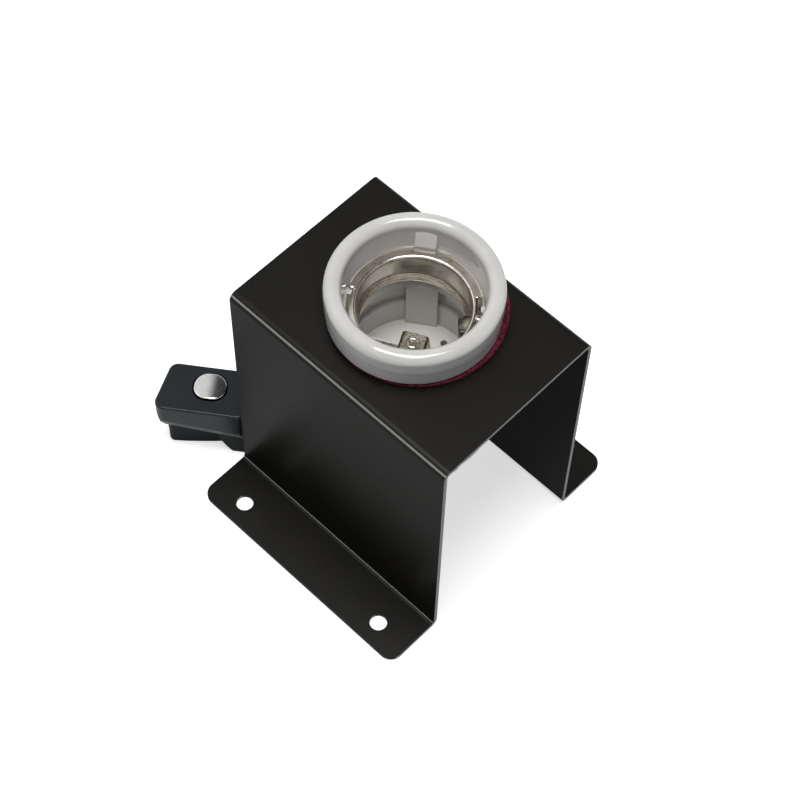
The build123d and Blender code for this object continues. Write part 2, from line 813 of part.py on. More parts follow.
both_clamps = (clamp_angle, clamp_angle + 180)
clamp_screws = Compound(children=[clamp_screw(angle) for angle in both_clamps])
clamp_screws.label = "clamp_screws"
export_step(clamp_screws, "parts/clamp_screws.step")
washer_bottom = cover_bottom - clamp_washer_thickness
washer_radii = (clamp_washer_diameter / 2, clamp_screw_diameter / 2 + fit_gap)
clamp_washers = Compound(children=[
    clamp_ring(angle, washer_bottom, clamp_washer_thickness, *washer_radii) for angle in both_clamps
])
clamp_washers.label = "clamp_washers"
export_step(clamp_washers, "parts/clamp_washers.step")
insert_radii = (clamp_insert_diameter / 2, clamp_screw_diameter / 2)
clamp_inserts = Compound(children=[
    clamp_ring(angle, collar_bottom, clamp_insert_length, *insert_radii) for angle in both_clamps
])
clamp_inserts.label = "clamp_inserts"
export_step(clamp_inserts, "parts/clamp_inserts.step")

# Cable gland: body through the cover, lock nut inside, domed cap outside
cable_bore = lead_diameter / 2 + 0.1
core_bore = 2.9
gland_flange_bottom = cover_bottom - gland_flange_height
cap_thread = 2.0
cap_mouth = 4.5
with BuildPart() as gland_body:
    with BuildSketch(Plane.XY.offset(gland_flange_bottom)):
        with Locations((gland_x, gland_y)):
            RegularPolygon(gland_hex / 2, 6, major_radius=False)
    extrude(amount=gland_flange_height)
    with BuildSketch(Plane.XY.offset(gland_flange_bottom - cap_thread)):
        with Locations((gland_x, gland_y)):
            Circle(gland_thread_diameter / 2 - 0.5)
    extrude(amount=cap_thread)
    with BuildSketch(Plane.XY.offset(cover_bottom)):
        with Locations((gland_x, gland_y)):
            Circle(gland_thread_diameter / 2)
    extrude(amount=cover_thickness + gland_inner_length)
    with Locations((gland_x, gland_y, base_bottom + gland_inner_length)):
        Hole(core_bore, depth=base_bottom + gland_inner_length - sheath_end)
    with Locations((gland_x, gland_y, sheath_end)):
        Hole(cable_bore, depth=sheath_end - gland_flange_bottom + cap_thread)
gland_body.part.label = "gland_body"
export_step(gland_body.part, "parts/gland_body.step")

gland_axis = Axis((gland_x, gland_y, 0), (0, 0, 1))
cap_bottom = gland_flange_bottom - gland_cap_height
with BuildPart() as gland_cap:
    with BuildSketch(Plane(origin=(gland_x, gland_y, 0), x_dir=(1, 0, 0), z_dir=(0, -1, 0))):
        with BuildLine():
            Polyline(
                (gland_thread_diameter / 2 - 0.4, gland_flange_bottom),
                (gland_thread_diameter / 2 - 0.4, gland_flange_bottom - cap_thread - 0.2),
                (cable_bore, gland_flange_bottom - cap_thread - 0.2),
                (cable_bore, cap_bottom + cap_mouth),
                (cable_bore + 0.6, cap_bottom),
                (gland_cap_end_diameter / 2, cap_bottom),
            )
            ThreePointArc(
                (gland_cap_end_diameter / 2, cap_bottom),
                (gland_hex / 2 - 0.9, cap_bottom + 1.9),
                (gland_hex / 2, cap_bottom + 4.2),
            )
            Polyline(
                (gland_hex / 2, cap_bottom + 4.2),
                (gland_hex / 2, gland_flange_bottom),
                (gland_thread_diameter / 2 - 0.4, gland_flange_bottom),
            )
        make_face()
    revolve(axis=gland_axis)
    # Grip flutes round the cap
    flute_start = 0.35 * gland_cap_height
    with BuildSketch(Plane.XY.offset(cap_bottom + flute_start)):
        with Locations((gland_x, gland_y)):
            with PolarLocations(gland_hex / 2 + 0.45, 12):
                Circle(1.0)
    extrude(amount=gland_cap_height - flute_start, mode=Mode.SUBTRACT)
gland_cap.part.label = "gland_cap"
export_step(gland_cap.part, "parts/gland_cap.step")

with BuildPart() as gland_locknut:
    with BuildSketch(Plane.XY.offset(base_bottom)):
        with Locations((gland_x, gland_y)):
            RegularPolygon(gland_hex / 2, 6, major_radius=False)
            Circle(gland_thread_diameter / 2, mode=Mode.SUBTRACT)
    extrude(amount=locknut_height)
gland_locknut.part.label = "gland_locknut"
export_step(gland_locknut.part, "parts/gland_locknut.step")


def cord_path(points):
    """Straight runs and tangent arcs, each arc as large as its two runs allow."""
    stops = [Vector(*p) for p in points]
    radii = []
    for before, here, after in zip(stops, stops[1:], stops[2:]):
        turn = (here - before).get_angle(after - here)
        shorter = min((here - before).length, (after - here).length)
        radii.append(0.45 * shorter / tan(radians(turn / 2)))
    with BuildLine() as route:
        FilletPolyline(*stops, radius=radii)
    return route.wire(), radii


def cord_tube(label, points, diameter):
    """Round cord along its route, with its arc radii printed and its volume compared."""
    path, radii = cord_path(points)
    with BuildPart() as tube:
        with BuildSketch(Plane(origin=path @ 0, z_dir=path % 0)):
            Circle(diameter / 2)
        sweep(path=path)
    tube.part.label = label
    export_step(tube.part, f"parts/{label}.step")
    print(label, "length", round(path.length, 2), "arc radii", [round(r, 1) for r in radii])
    expected = path.length * 3.14159265 * diameter**2 / 4
    print(label, "volume", round(tube.part.volume, 1), "section times length", round(expected, 1))
    return tube.part


# Short lead: down from the gland, along the floor and into the boot
cable_entry = connector_level(0).from_local_coords((boot_end - boot_grip_length, 0, cable_height))
lead_points = [
    (gland_x, gland_y, sheath_end),
    (gland_x, gland_y, 29.0),
    (6.58, 9.72, 14.9),
    (-5.19, 25.89, cable_height),
    (cable_entry.X, cable_entry.Y, cable_entry.Z),
]
supply_lead = cord_tube("supply_lead", lead_points, lead_diameter)

# Cores from the gland to the terminals
core_start = base_bottom + gland_inner_length
core_end_height = tag_height - 2.0
core_end_radius = terminal_radius - terminal_head_diameter / 2 - 1.5
line_end = round_socket(contact_angle, core_end_radius, core_end_height)
neutral_end = round_socket(neutral_angle, core_end_radius, core_end_height)
line_points = [
    (gland_x - 1.3, gland_y, core_start),
    (gland_x - 2.6, gland_y + 1.0, tag_height + 0.8),
    (3.6, 4.2, tag_height + 2.0),
    (0.2, 8.2, tag_height - 0.2),
    line_end,
]
line_core = cord_tube("line_core", line_points, core_diameter)
neutral_points = [
    (gland_x + 1.3, gland_y, core_start),
    (gland_x + 2.4, gland_y - 1.6, tag_height + 1.2),
    (10.4, -6.4, tag_height + 1.4),
    neutral_end,
]
neutral_core = cord_tube("neutral_core", neutral_points, core_diameter)

def tail_wedge():
    """Outline cut away beside the connector's tail, where it narrows towards the lead."""
    Polyline(
        (tail_taper_start, connector_half),
        (tail_taper_start + 1.55 * tail_taper_in, connector_half - tail_taper_in),
        (connector_length + 1, tail_half_width),
        (connector_length + 1, connector_half + 1),
        (tail_taper_start, connector_half + 1),
        close=True,
    )


# Connector's top shell: sloping joint, undercut nose, bevels along its lower sides
top = connector_height
nose = connector_nose - nose_slant / 2
tail = connector_length
well_floor = top + button_proud - button_skin - button_travel - 0.5
with BuildPart() as connector_top:
    with BuildSketch(connector_side()):
        with BuildLine():
            Polyline(
                (nose, top),
                (tail, top),
                (tail, parting_height(tail) + parting_gap / 2),
                (nose + nose_undercut, parting_height(nose + nose_undercut) + parting_gap / 2),
                (nose, top - 4.5),
                close=True,
            )
        make_face()
    extrude(amount=connector_half, both=True)
    low_sides = connector_top.faces().sort_by(Axis.Z)[0].edges().sort_by(SortBy.LENGTH)[-2:]
    chamfer(low_sides, length=bevel_up, length2=bevel_in)
    # The nose's end runs aslant across the connector
    with BuildSketch(connector_level(0)):
        with BuildLine():
            Polyline(
                (nose, -connector_half),
                (nose + nose_slant, connector_half),
                (nose - 2, connector_half + 1),
                (nose - 2, -connector_half),
                close=True,
            )
        make_face()
    extrude(amount=connector_height, mode=Mode.SUBTRACT)
    nose_corners = connector_top.edges().filter_by(Axis.Z).sort_by(
        lambda e: connector_level(0).to_local_coords(e.center()).X
    )[:2]
    fillet(nose_corners, radius=connector_corner_radius)
    with BuildSketch(connector_level(0)):
        with BuildLine():
            tail_wedge()
        make_face()
        mirror(about=Plane.XZ)
    extrude(amount=connector_height, mode=Mode.SUBTRACT)
    fillet(connector_top.faces().sort_by(Axis.Z)[-1].edges(), radius=0.8)
    # Well for the button, pocket for its stirrup, slot for the mating tongue
    with BuildSketch(connector_level(top)):
        with Locations((button_centre, button_across)):
            RectangleRounded(
                button_length + 2 * button_gap, button_width + 2 * button_gap, button_corner_radius + button_gap
            )
    extrude(amount=well_floor - top, mode=Mode.SUBTRACT)
    with BuildSketch(connector_level(parting_at_tail)):
        with Locations((button_centre, button_across)):
            Rectangle(stirrup_thickness + 2 * fit_gap, stirrup_width + 2 * fit_gap)
    extrude(amount=well_floor - parting_at_tail, mode=Mode.SUBTRACT)
    with BuildSketch(connector_level(parting_at_tail)):
        with Locations((button_centre, button_across)):
            Rectangle(stirrup_thickness + 2 * fit_gap, stirrup_foot_width + 2 * fit_gap)
    extrude(amount=stirrup_foot_top + 0.1 - parting_at_tail, mode=Mode.SUBTRACT)
    with BuildSketch(connector_level(parting_at_tail)):
        with Locations((button_centre, button_across)):
            Circle(spring_radius + spring_wire / 2 + fit_gap)
    extrude(amount=stirrup_bottom + fit_gap - parting_at_tail, mode=Mode.SUBTRACT)
    with BuildSketch(connector_level(tongue_slot_bottom)):
        with Locations(((nose + button_centre + 3) / 2 - 1, button_across)):
            Rectangle(button_centre + 5 - nose, tongue_slot_width)
    extrude(amount=tongue_slot_height, mode=Mode.SUBTRACT)
    # Pilot holes of the two screws
    with BuildSketch(connector_level(parting_at_tail - 1)):
        with Locations((case_screw_along, 0)):
            with GridLocations(1, case_screw_spacing, 1, 2):
                Circle(case_screw_diameter / 2)
    extrude(amount=case_screw_top + 1 - parting_at_tail + 1, mode=Mode.SUBTRACT)
connector_top.part.label = "connector_top"
export_step(connector_top.part, "parts/connector_top.step")

# Connector's bottom shell: narrow finger grip at the nose, curved shoulder to the full width
waist_half = connector_half - grip_inset_waist
nose_half = connector_half - grip_inset_nose
with BuildPart() as connector_bottom:
    with BuildSketch(connector_level(0)) as grip_plan:
        with BuildLine():
            Polyline((0, 0), (0, nose_half), (3, nose_half - 0.4))
            Spline(
                (3, nose_half - 0.4),
                (10.8, connector_half - grip_inset_middle),
                (grip_waist, waist_half),
                tangents=[(1, -0.05), (1, -0.2)],
            )
            Polyline((grip_waist, waist_half), (tail, waist_half), (tail, 0), (0, 0))
        make_face()
        mirror(about=Plane.XZ)
    extrude(amount=parting_at_nose)
    fillet(
        connector_bottom.edges().filter_by(Axis.Z).group_by(lambda e: round(
            connector_level(0).to_local_coords(e.center()).X, 1))[0],
        radius=2.4,
    )
    with BuildSketch(connector_side()):
        with BuildLine():
            Polyline((shoulder_foot, 0), (tail, 0), (tail, parting_at_nose), (shoulder_top, parting_at_nose))
            ThreePointArc(
                (shoulder_top, parting_at_nose),
                ((shoulder_top + shoulder_foot) / 2 - 0.9, parting_at_nose * 0.42),
                (shoulder_foot, 0),
            )
        make_face()
    extrude(amount=connector_half - shoulder_inset, both=True)
    with BuildSketch(connector_level(0)):
        with BuildLine():
            tail_wedge()
        make_face()
        mirror(about=Plane.XZ)
    extrude(amount=connector_height, mode=Mode.SUBTRACT)
    # Everything above the sloping joint is the top shell's
    with BuildSketch(connector_side()):
        with BuildLine():
            Polyline(
                (nose - 5, parting_height(nose - 5) - parting_gap / 2),
                (tail + 5, parting_height(tail + 5) - parting_gap / 2),
                (tail + 5, top),
                (nose - 5, top),
                close=True,
            )
        make_face()
    extrude(amount=connector_width, both=True, mode=Mode.SUBTRACT)
    # Two contact bores with their narrower mouths
    with BuildSketch(connector_end(sleeve_start)):
        with Locations((0, sleeve_height)):
            with GridLocations(sleeve_spacing, 1, 2, 1):
                Circle(sleeve_outer_radius)
    extrude(amount=sleeve_length, mode=Mode.SUBTRACT)
    with BuildSketch(connector_end(sleeve_start)):
        with Locations((0, sleeve_height)):
            with GridLocations(sleeve_spacing, 1, 2, 1):
                Circle(sleeve_inner_radius + 0.1)
    extrude(amount=-4, mode=Mode.SUBTRACT)
    # Blind hole of the latch spring, and the screws' counterbored holes
    with BuildSketch(connector_level(spring_foot)):
        with Locations((button_centre, button_across)):
            Circle(spring_radius + spring_wire / 2 + fit_gap)
    extrude(amount=parting_at_nose - spring_foot, mode=Mode.SUBTRACT)
    with BuildSketch(connector_level(0)):
        with Locations((case_screw_along, 0)):
            with GridLocations(1, case_screw_spacing, 1, 2):
                Circle(case_screw_diameter / 2 + fit_gap)
    extrude(amount=parting_at_nose, mode=Mode.SUBTRACT)
    with BuildSketch(connector_level(0)):
        with Locations((case_screw_along, 0)):
            with GridLocations(1, case_screw_spacing, 1, 2):
                Circle(case_head_diameter / 2 + fit_gap)
    extrude(amount=case_head_top, mode=Mode.SUBTRACT)
connector_bottom.part.label = "connector_bottom"
export_step(connector_bottom.part, "parts/connector_bottom.step")

# Press button with its latch stirrup
with BuildPart() as latch_button:
    with BuildSketch(connector_level(top + button_proud - button_skin)):
        with Locations((button_centre, button_across)):
            RectangleRounded(button_length, button_width, button_corner_radius)
    extrude(amount=button_skin)
    with BuildSketch(connector_side()):
        with BuildLine():
            ThreePointArc(
                (button_centre - button_length / 2 - 0.5, top + button_proud - button_crown),
                (button_centre, top + button_proud),
                (button_centre + button_length / 2 + 0.5, top + button_proud - button_crown),
            )
            Polyline(
                (button_centre + button_length / 2 + 0.5, top + button_proud - button_crown),
                (button_centre + button_length / 2 + 0.5, top + 2 * button_proud),
                (button_centre - button_length / 2 - 0.5, top + 2 * button_proud),
                (button_centre - button_length / 2 - 0.5, top + button_proud - button_crown),
            )
        make_face()
    extrude(amount=button_width, both=True, mode=Mode.SUBTRACT)
    fillet(latch_button.faces().sort_by(Axis.Z)[-1].edges(), radius=0.5)
    with BuildSketch(connector_level(stirrup_bottom)):
        with Locations((button_centre, button_across)):
            Rectangle(stirrup_thickness, stirrup_width)
    extrude(amount=top + button_proud - button_skin - stirrup_bottom)
    with BuildSketch(connector_level(stirrup_bar_top)):
        with Locations((button_centre, button_across)):
            Rectangle(stirrup_thickness, stirrup_width - 2 * stirrup_leg)
    extrude(amount=top + button_proud - button_skin - stirrup_bar_top, mode=Mode.SUBTRACT)
    with BuildSketch(connector_level(stirrup_bottom)):
        with Locations((button_centre, button_across)):
            Rectangle(stirrup_thickness, stirrup_foot_width)
    extrude(amount=stirrup_foot_top - stirrup_bottom)
latch_button.part.label = "latch_button"
export_step(latch_button.part, "parts/latch_button.step")

# Coil spring under the stirrup
spring_height = stirrup_bottom - spring_foot - spring_wire
spring_place = connector_level(spring_foot + spring_wire / 2)
with BuildPart() as latch_spring:
    with BuildLine(Plane(
        origin=spring_place.from_local_coords((button_centre, button_across, 0)),
        x_dir=spring_place.x_dir,
        z_dir=(0, 0, 1),
    )):
        coil = Helix(pitch=spring_pitch, height=spring_height, radius=spring_radius)
    with BuildSketch(Plane(origin=coil @ 0, z_dir=coil % 0)):
        Circle(spring_wire / 2)
    sweep(path=coil, is_frenet=True)
latch_spring.part.label = "latch_spring"
export_step(latch_spring.part, "parts/latch_spring.step")


def contact_sleeve(across):
    """Brass socket sleeve, open towards the nose."""
    with BuildPart() as made:
        with BuildSketch(connector_end(sleeve_start)):
            with Locations((across, sleeve_height)):
                Circle(sleeve_outer_radius)
        extrude(amount=sleeve_length)
        with BuildSketch(connector_end(sleeve_start)):
            with Locations((across, sleeve_height)):
                Circle(sleeve_inner_radius)
        extrude(amount=sleeve_length - 2, mode=Mode.SUBTRACT)
    return made.part


contact_sleeves = Compound(children=[contact_sleeve(-sleeve_spacing / 2), contact_sleeve(sleeve_spacing / 2)])
contact_sleeves.label = "contact_sleeves"
export_step(contact_sleeves, "parts/contact_sleeves.step")


def case_screw(across):
    """Cross-recess screw from below through the bottom shell into the top shell."""
    with BuildPart() as made:
        with BuildSketch(connector_level(case_head_bottom)):
            with Locations((case_screw_along, across)):
                Circle(case_head_diameter / 2)
        extrude(amount=case_head_top - case_head_bottom)
        fillet(made.faces().sort_by(Axis.Z)[0].edges(), radius=0.5)
        with BuildSketch(connector_level(case_head_top)):
            with Locations((case_screw_along, across)):
                Circle(case_screw_diameter / 2)
        extrude(amount=case_screw_top - case_head_top)
        with BuildSketch(connector_level(case_head_bottom)):
            with Locations((case_screw_along, across)):
                Rectangle(2.2, 0.6)
                Rectangle(0.6, 2.2)
        extrude(amount=0.9, mode=Mode.SUBTRACT)
    return made.part


connector_screws = Compound(children=[case_screw(-case_screw_spacing / 2), case_screw(case_screw_spacing / 2)])
connector_screws.label = "connector_screws"
export_step(connector_screws, "parts/connector_screws.step")

# Tapered strain relief boot with grip rings
boot_axis_place = connector_level(cable_height).from_local_coords((0, 0, 0))
boot_axis = Axis(boot_axis_place, connector_level(0).x_dir)
with BuildPart() as cable_boot:
    with BuildSketch(connector_side()):
        with BuildLine():
            Polyline(
                (tail, cable_height + core_bore),
                (tail, cable_height + boot_root_radius),
                (tail + 1.6, cable_height + boot_root_radius),
                (boot_end, cable_height + boot_end_radius),
                (boot_end, cable_height + cable_bore),
                (boot_end - boot_grip_length, cable_height + cable_bore),
                (boot_end - boot_grip_length, cable_height + core_bore),
                close=True,
            )
        make_face()
        for k in range(4):
            with Locations((tail + 4.2 + 3.6 * k, cable_height + boot_root_radius)):
                Circle(1.3 + 0.08 * k, mode=Mode.SUBTRACT)
    revolve(axis=boot_axis)
cable_boot.part.label = "cable_boot"
export_step(cable_boot.part, "parts/cable_boot.step")
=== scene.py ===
import math

import bmesh
import bpy
from mathutils import Matrix, Vector


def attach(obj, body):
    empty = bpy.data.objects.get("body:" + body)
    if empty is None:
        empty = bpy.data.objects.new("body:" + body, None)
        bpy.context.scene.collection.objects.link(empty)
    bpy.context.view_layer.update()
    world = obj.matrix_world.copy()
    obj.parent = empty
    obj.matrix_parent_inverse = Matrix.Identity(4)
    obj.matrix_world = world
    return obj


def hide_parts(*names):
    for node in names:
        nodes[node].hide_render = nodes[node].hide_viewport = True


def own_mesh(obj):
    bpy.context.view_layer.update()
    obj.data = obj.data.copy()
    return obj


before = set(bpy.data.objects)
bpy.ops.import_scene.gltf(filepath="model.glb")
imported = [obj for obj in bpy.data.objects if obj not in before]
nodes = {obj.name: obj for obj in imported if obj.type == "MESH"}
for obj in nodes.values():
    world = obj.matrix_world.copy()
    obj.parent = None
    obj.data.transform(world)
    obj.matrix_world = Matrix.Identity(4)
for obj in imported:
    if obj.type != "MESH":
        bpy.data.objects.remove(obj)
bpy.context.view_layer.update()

scene = bpy.context.scene

# Pieces are in millimetres and degrees; the camera, the lamps, the floor and the lead's route in metres

# Camera at the photograph's view: its place, its three axes and its lens
CAMERA_PLACE = (-0.279282, -0.252071, 0.688708)
CAMERA_RIGHT = Vector((0.694574, -0.719236, 0.016320))
CAMERA_UP = Vector((0.611828, 0.602479, 0.512528))
CAMERA_BACK = Vector((-0.378461, -0.346003, 0.858515))
CAMERA_LENS = 92.31
SENSOR_WIDTH = 36.0

# The socket's upright axis
SOCKET_X = 3.0
SOCKET_Y = 1.0
SOCKET = Vector((SOCKET_X / 1000.0, SOCKET_Y / 1000.0, 0.0))

# The connector's free end in metres, and its directions along and across
CONNECTOR_END = Vector((-0.04523, 0.08085, 0.0))
CONNECTOR_TURN = math.radians(-53.93)
ALONG = Vector((math.cos(CONNECTOR_TURN), math.sin(CONNECTOR_TURN), 0))
ACROSS = Vector((-ALONG.y, ALONG.x, 0))

# Button spring: a coil of round wire, its ends turned flat
COIL_ALONG = 16.4
COIL_ACROSS = 1.4
COIL_RADIUS = 1.6
COIL_WIRE_RADIUS = 0.25
COIL_LOW = 8.25
COIL_HIGH = 14.75
COIL_TURNS = 5.6
COIL_END_TURNS = 0.8
COIL_STEPS = 220
COIL_SECTION = 12

# Short lead, on the solid's route: it ends at the boot, this far along the connector and above the floor
LEAD_RADIUS = 3.5
BOOT_ALONG = 50
BOOT_HEIGHT = 10

# Wall of the screw shell: a plain band, then the groove, roll and ripples of a right-hand round thread
PITCH = 6.35
CREST = 19.7
ROOT = 18.5
BAND_STEP = 0.2
THREAD_START = 106.4
THREAD_SIDE = math.radians(44)
THREAD_RUN_OUT = 0.9  # radians
GROOVE_DEPTH = 0.3
GROOVE_WIDTH = 0.55
ROLL_BELOW = 2.2
ROLL_WIDTH = 1.25
RIPPLE = 0.07
RIPPLE_PITCH = 1.15
RIPPLE_WIDTH = 1.6
WALL_STEPS = 56
WALL_BELOW_LIP = 0.2

# Rolled lip and flange of the shell
SHELL_TOP = 116.0
SHELL_FOOT = 102.4
SHELL_SHEET = 0.5
SHELL_RINGS = 360
LIP_RADIUS = 0.9
LIP_BACK_RADIUS = 0.4
LIP_RISE = 0.16
LIP_STEPS = 7
FLANGE_RADIUS = 23.0
FLANGE_CHAMFER = 0.1
FLANGE_EDGE = 0.05
FLANGE_FLAT_RADIUS = 21.6
FLANGE_RISE_RADIUS = 21.0
FLANGE_RISE = 0.10

# Openings of the shell: window and slot of the grip spring, and two notches in the flange
GRIP_ANGLE = -46
WINDOW_HALF_ANGLE = 10.6
WINDOW_TOP = 107.4
SLOT_HALF_ANGLE = 9.4
SLOT_INNER = 20.9
SLOT_OUTER = 21.8
NOTCH_ANGLES = (119, -49.5)
NOTCH_HALF_ANGLE = 3.6
NOTCH_FOOT = 22.0
FLANGE_BOTTOM = 115.0

# Gasket: a braided ring, a little off the socket's axis, with two screw holes
GASKET_SHIFT = 1.7
GASKET_OUTER = 31.1
GASKET_INNER = 25.2
GASKET_LOW = 112.0
GASKET_HIGH = 113.8
GASKET_RINGS = 900
GASKET_SECTION = 30
SIDE_FLATNESS = 0.35
FACE_FLATNESS = 0.6
STRANDS = 75
STRAND_WIDTH = 0.22
STRAND_HEIGHT = 0.14
STRAND_TURNS = 3
STRAND_FLATNESS = 0.6
SCREW_ANGLES = (76, 256)
SCREW_CIRCLE = 27.4
SCREW_HOLE_RADIUS = 1.9
SCREW_HOLE_DEPTH = 6.0
SCREW_HOLE_MIDDLE = 113

# Centre contact: the still strip, the raised fold that gives way under the lamp, and the leaf below it
CONTACT_ANGLE = 118
CONTACT_SHEET = 0.8
STRIP_BEND = 0.7
STRIP_HALF_WIDTH = 2.5
STRIP_GAP = 1.2
TAG_END = 12.0
TAG_HEIGHT = 60.4
RISER = 20.9
RUN_HEIGHT = 84.5
FOLD_FOOT = 5.2
FOLD_HEAD = 4.3
FOLD_TOP = 92.0
FOLD_BEND = 1.2
FOLD_GAP = 0.5
FOLD_LENGTH = 22.9
FOLD_NARROW_RUN = 2.0
FOLD_WIDENING_RUN = 3.0
FOLD_WIDENING = 2.0
FOLD_ROUND = 1.8
FOLD_TIP = 0.02
LEAF_FOOT = 84.4
LEAF_HALF_SPAN = 3.1
LEAF_RISE = 6.1
LEAF_ARC = 0.97
LEAF_STEPS = 12
LEAF_HALF_WIDTH = 3.0
LEAF_SHEET = 0.5

# Small rounds on the edges of the strips
EDGE_ROUND = 0.12
EDGE_SEGMENTS = 2
EDGE_ANGLE = 40

# Crown pressed into the grip spring's belly, laid on the sloping face of the solid's sheet
CROWN_RUN = (-6.1, -3.0)
CROWN_RADIUS = 18.05
CROWN_HEIGHT = 105.15
CROWN_LIFT = 0.22
CROWN_HALF_RUN = 3.1
CROWN_HALF_WIDTH = 3.15
CROWN_RISE = 0.75
CROWN_SINK = 0.1
CROWN_SLOPE = 2.6
CROWN_RINGS = 10
CROWN_AROUND = 40

# Floor: half its side, how far it lies under the part, and its glow to the camera and in gloss
FLOOR_HALF = 3.0
FLOOR_DROP = 0.0004
FLOOR_GLOW = (0.6, 0.2)

# World: even light for the faces, and for gloss a dark ceiling that brightens towards one side
WHITE = (1.0, 1.0, 1.0)
AMBIENT = 0.22
AMBIENT_COLOUR = (0.88, 0.95, 1.06)
CEILING = (0.03, 0.75)
BRIGHT_SIDE = (-0.5, 0.85, 0.0)
BRIGHT_SPAN = (0.06, 0.25)
HORIZON_SPAN = (0.35, 0.6)

# Point that the lamps look at
LAMP_AIM = Vector((0, 0, 0.1))


def mm(value):
    return value / 1000.0


def round_socket(angle, radius, height):
    """Point at this angle and radius from the socket's axis, in metres."""
    a = math.radians(angle)
    return SOCKET + Vector((mm(radius) * math.cos(a), mm(radius) * math.sin(a), mm(height)))


def connector_point(along, across, height):
    """Point on the connector, measured from its free end, in metres."""
    return CONNECTOR_END + ALONG * mm(along) + ACROSS * mm(across) + Vector((0, 0, mm(height)))


def upright_plane(angle):
    """Directions outward from the socket's axis and sideways, for the upright plane at this angle."""
    a = math.radians(angle)
    out = Vector((math.cos(a), math.sin(a), 0))
    return out, Vector((-out.y, out.x, 0))


def limited(value, low=0.0):
    """The value, kept between this low end and 1."""
    return min(1.0, max(low, value))


def hump(distance, width):
    return math.exp(-((distance / width) ** 2))


def place_camera():
    data = bpy.data.cameras.new("camera")
    data.sensor_width = SENSOR_WIDTH
    data.lens = CAMERA_LENS
    data.clip_start = 0.05
    data.clip_end = 20.0
    camera = bpy.data.objects.new("camera", data)
    turn = Matrix((CAMERA_RIGHT, CAMERA_UP, CAMERA_BACK)).transposed().to_4x4()
    camera.matrix_world = Matrix.Translation(CAMERA_PLACE) @ turn
    scene.collection.objects.link(camera)
    scene.camera = camera


# Materials

# Numbers of the Mix node's sockets for colours: factor, first and second colour, and the result
MIX_INPUTS = (0, 6, 7)
MIX_RESULT = 2


def feed(tree, value, socket):
    """Links an output to the socket, or sets the socket to a colour or a number."""
    if isinstance(value, bpy.types.NodeSocket):
        tree.links.new(value, socket)
    elif hasattr(value, "__len__"):
        socket.default_value = (*value, 1.0)
    else:
        socket.default_value = value


def calculate(tree, operation, first, second=0.0):
    node = tree.nodes.new("ShaderNodeMath")
    node.operation = operation
    feed(tree, first, node.inputs[0])
    feed(tree, second, node.inputs[1])
    return node.outputs[0]


class Paint:
    """Node tree of one procedural material, on the object's own coordinates."""

    def __init__(self, name):
        self.material = bpy.data.materials.new(name)
        self.material.use_nodes = True
        self.tree = self.material.node_tree
        self.shader = self.tree.nodes["Principled BSDF"]
        self.coordinates = self.tree.nodes.new("ShaderNodeTexCoord")
        self.place = self.coordinates.outputs["Object"]

    def set(self, **values):
        for name, value in values.items():
            self.shader.inputs[name.replace("_", " ")].default_value = value
        return self

    def link(self, out, name):
        self.tree.links.new(out, self.shader.inputs[name])

    def noise(self, scale, detail, rough=0.5):
        node = self.tree.nodes.new("ShaderNodeTexNoise")
        node.inputs["Scale"].default_value = scale
        node.inputs["Detail"].default_value = detail
        node.inputs["Roughness"].default_value = rough
        self.tree.links.new(self.place, node.inputs["Vector"])
        return node.outputs["Fac"]

    def cells(self, scale):
        """Distance to the nearest of many scattered points."""
        node = self.tree.nodes.new("ShaderNodeTexVoronoi")
        node.inputs["Scale"].default_value = scale
        self.tree.links.new(self.place, node.inputs["Vector"])
        return node.outputs["Distance"]

    def grazing(self):
        """0 where the face is seen square on, 1 where it is seen along."""
        return self.tree.nodes.new("ShaderNodeLayerWeight").outputs["Facing"]

    def facing_axes(self):
        """How squarely the face looks along the object's own X, Y and Z, each from 0 to 1."""
        normal = self.tree.nodes.new("ShaderNodeSeparateXYZ")
        self.tree.links.new(self.coordinates.outputs["Normal"], normal.inputs["Vector"])
        return [calculate(self.tree, "ABSOLUTE", out) for out in normal.outputs]

    def span(self, source, first, second, low=0.3, high=0.7):
        """Goes from the first colour or number to the second while the source goes from low to high."""
        node = self.tree.nodes.new("ShaderNodeValToRGB")
        for stop, position, value in zip(node.color_ramp.elements, (low, high), (first, second)):
            colour = value if hasattr(value, "__len__") else (value, value, value)
            stop.position = position
            stop.color = (*colour, 1.0)
        self.tree.links.new(source, node.inputs["Fac"])
        return node.outputs["Color"]

    def mix(self, factor, first, second):
        """The first colour where the factor is 0, the second where it is 1."""
        node = self.tree.nodes.new("ShaderNodeMix")
        node.data_type = "RGBA"
        for number, value in zip(MIX_INPUTS, (factor, first, second)):
            feed(self.tree, value, node.inputs[number])
        return node.outputs[MIX_RESULT]

    def bump(self, height, strength, depth):
        """Adds a bump on top of those that the shader has."""
        node = self.tree.nodes.new("ShaderNodeBump")
        node.inputs["Strength"].default_value = strength
        node.inputs["Distance"].default_value = depth
        self.tree.links.new(height, node.inputs["Height"])
        current = self.shader.inputs["Normal"]
        if current.is_linked:
            self.tree.links.new(current.links[0].from_socket, node.inputs["Normal"])
        self.tree.links.new(node.outputs["Normal"], current)


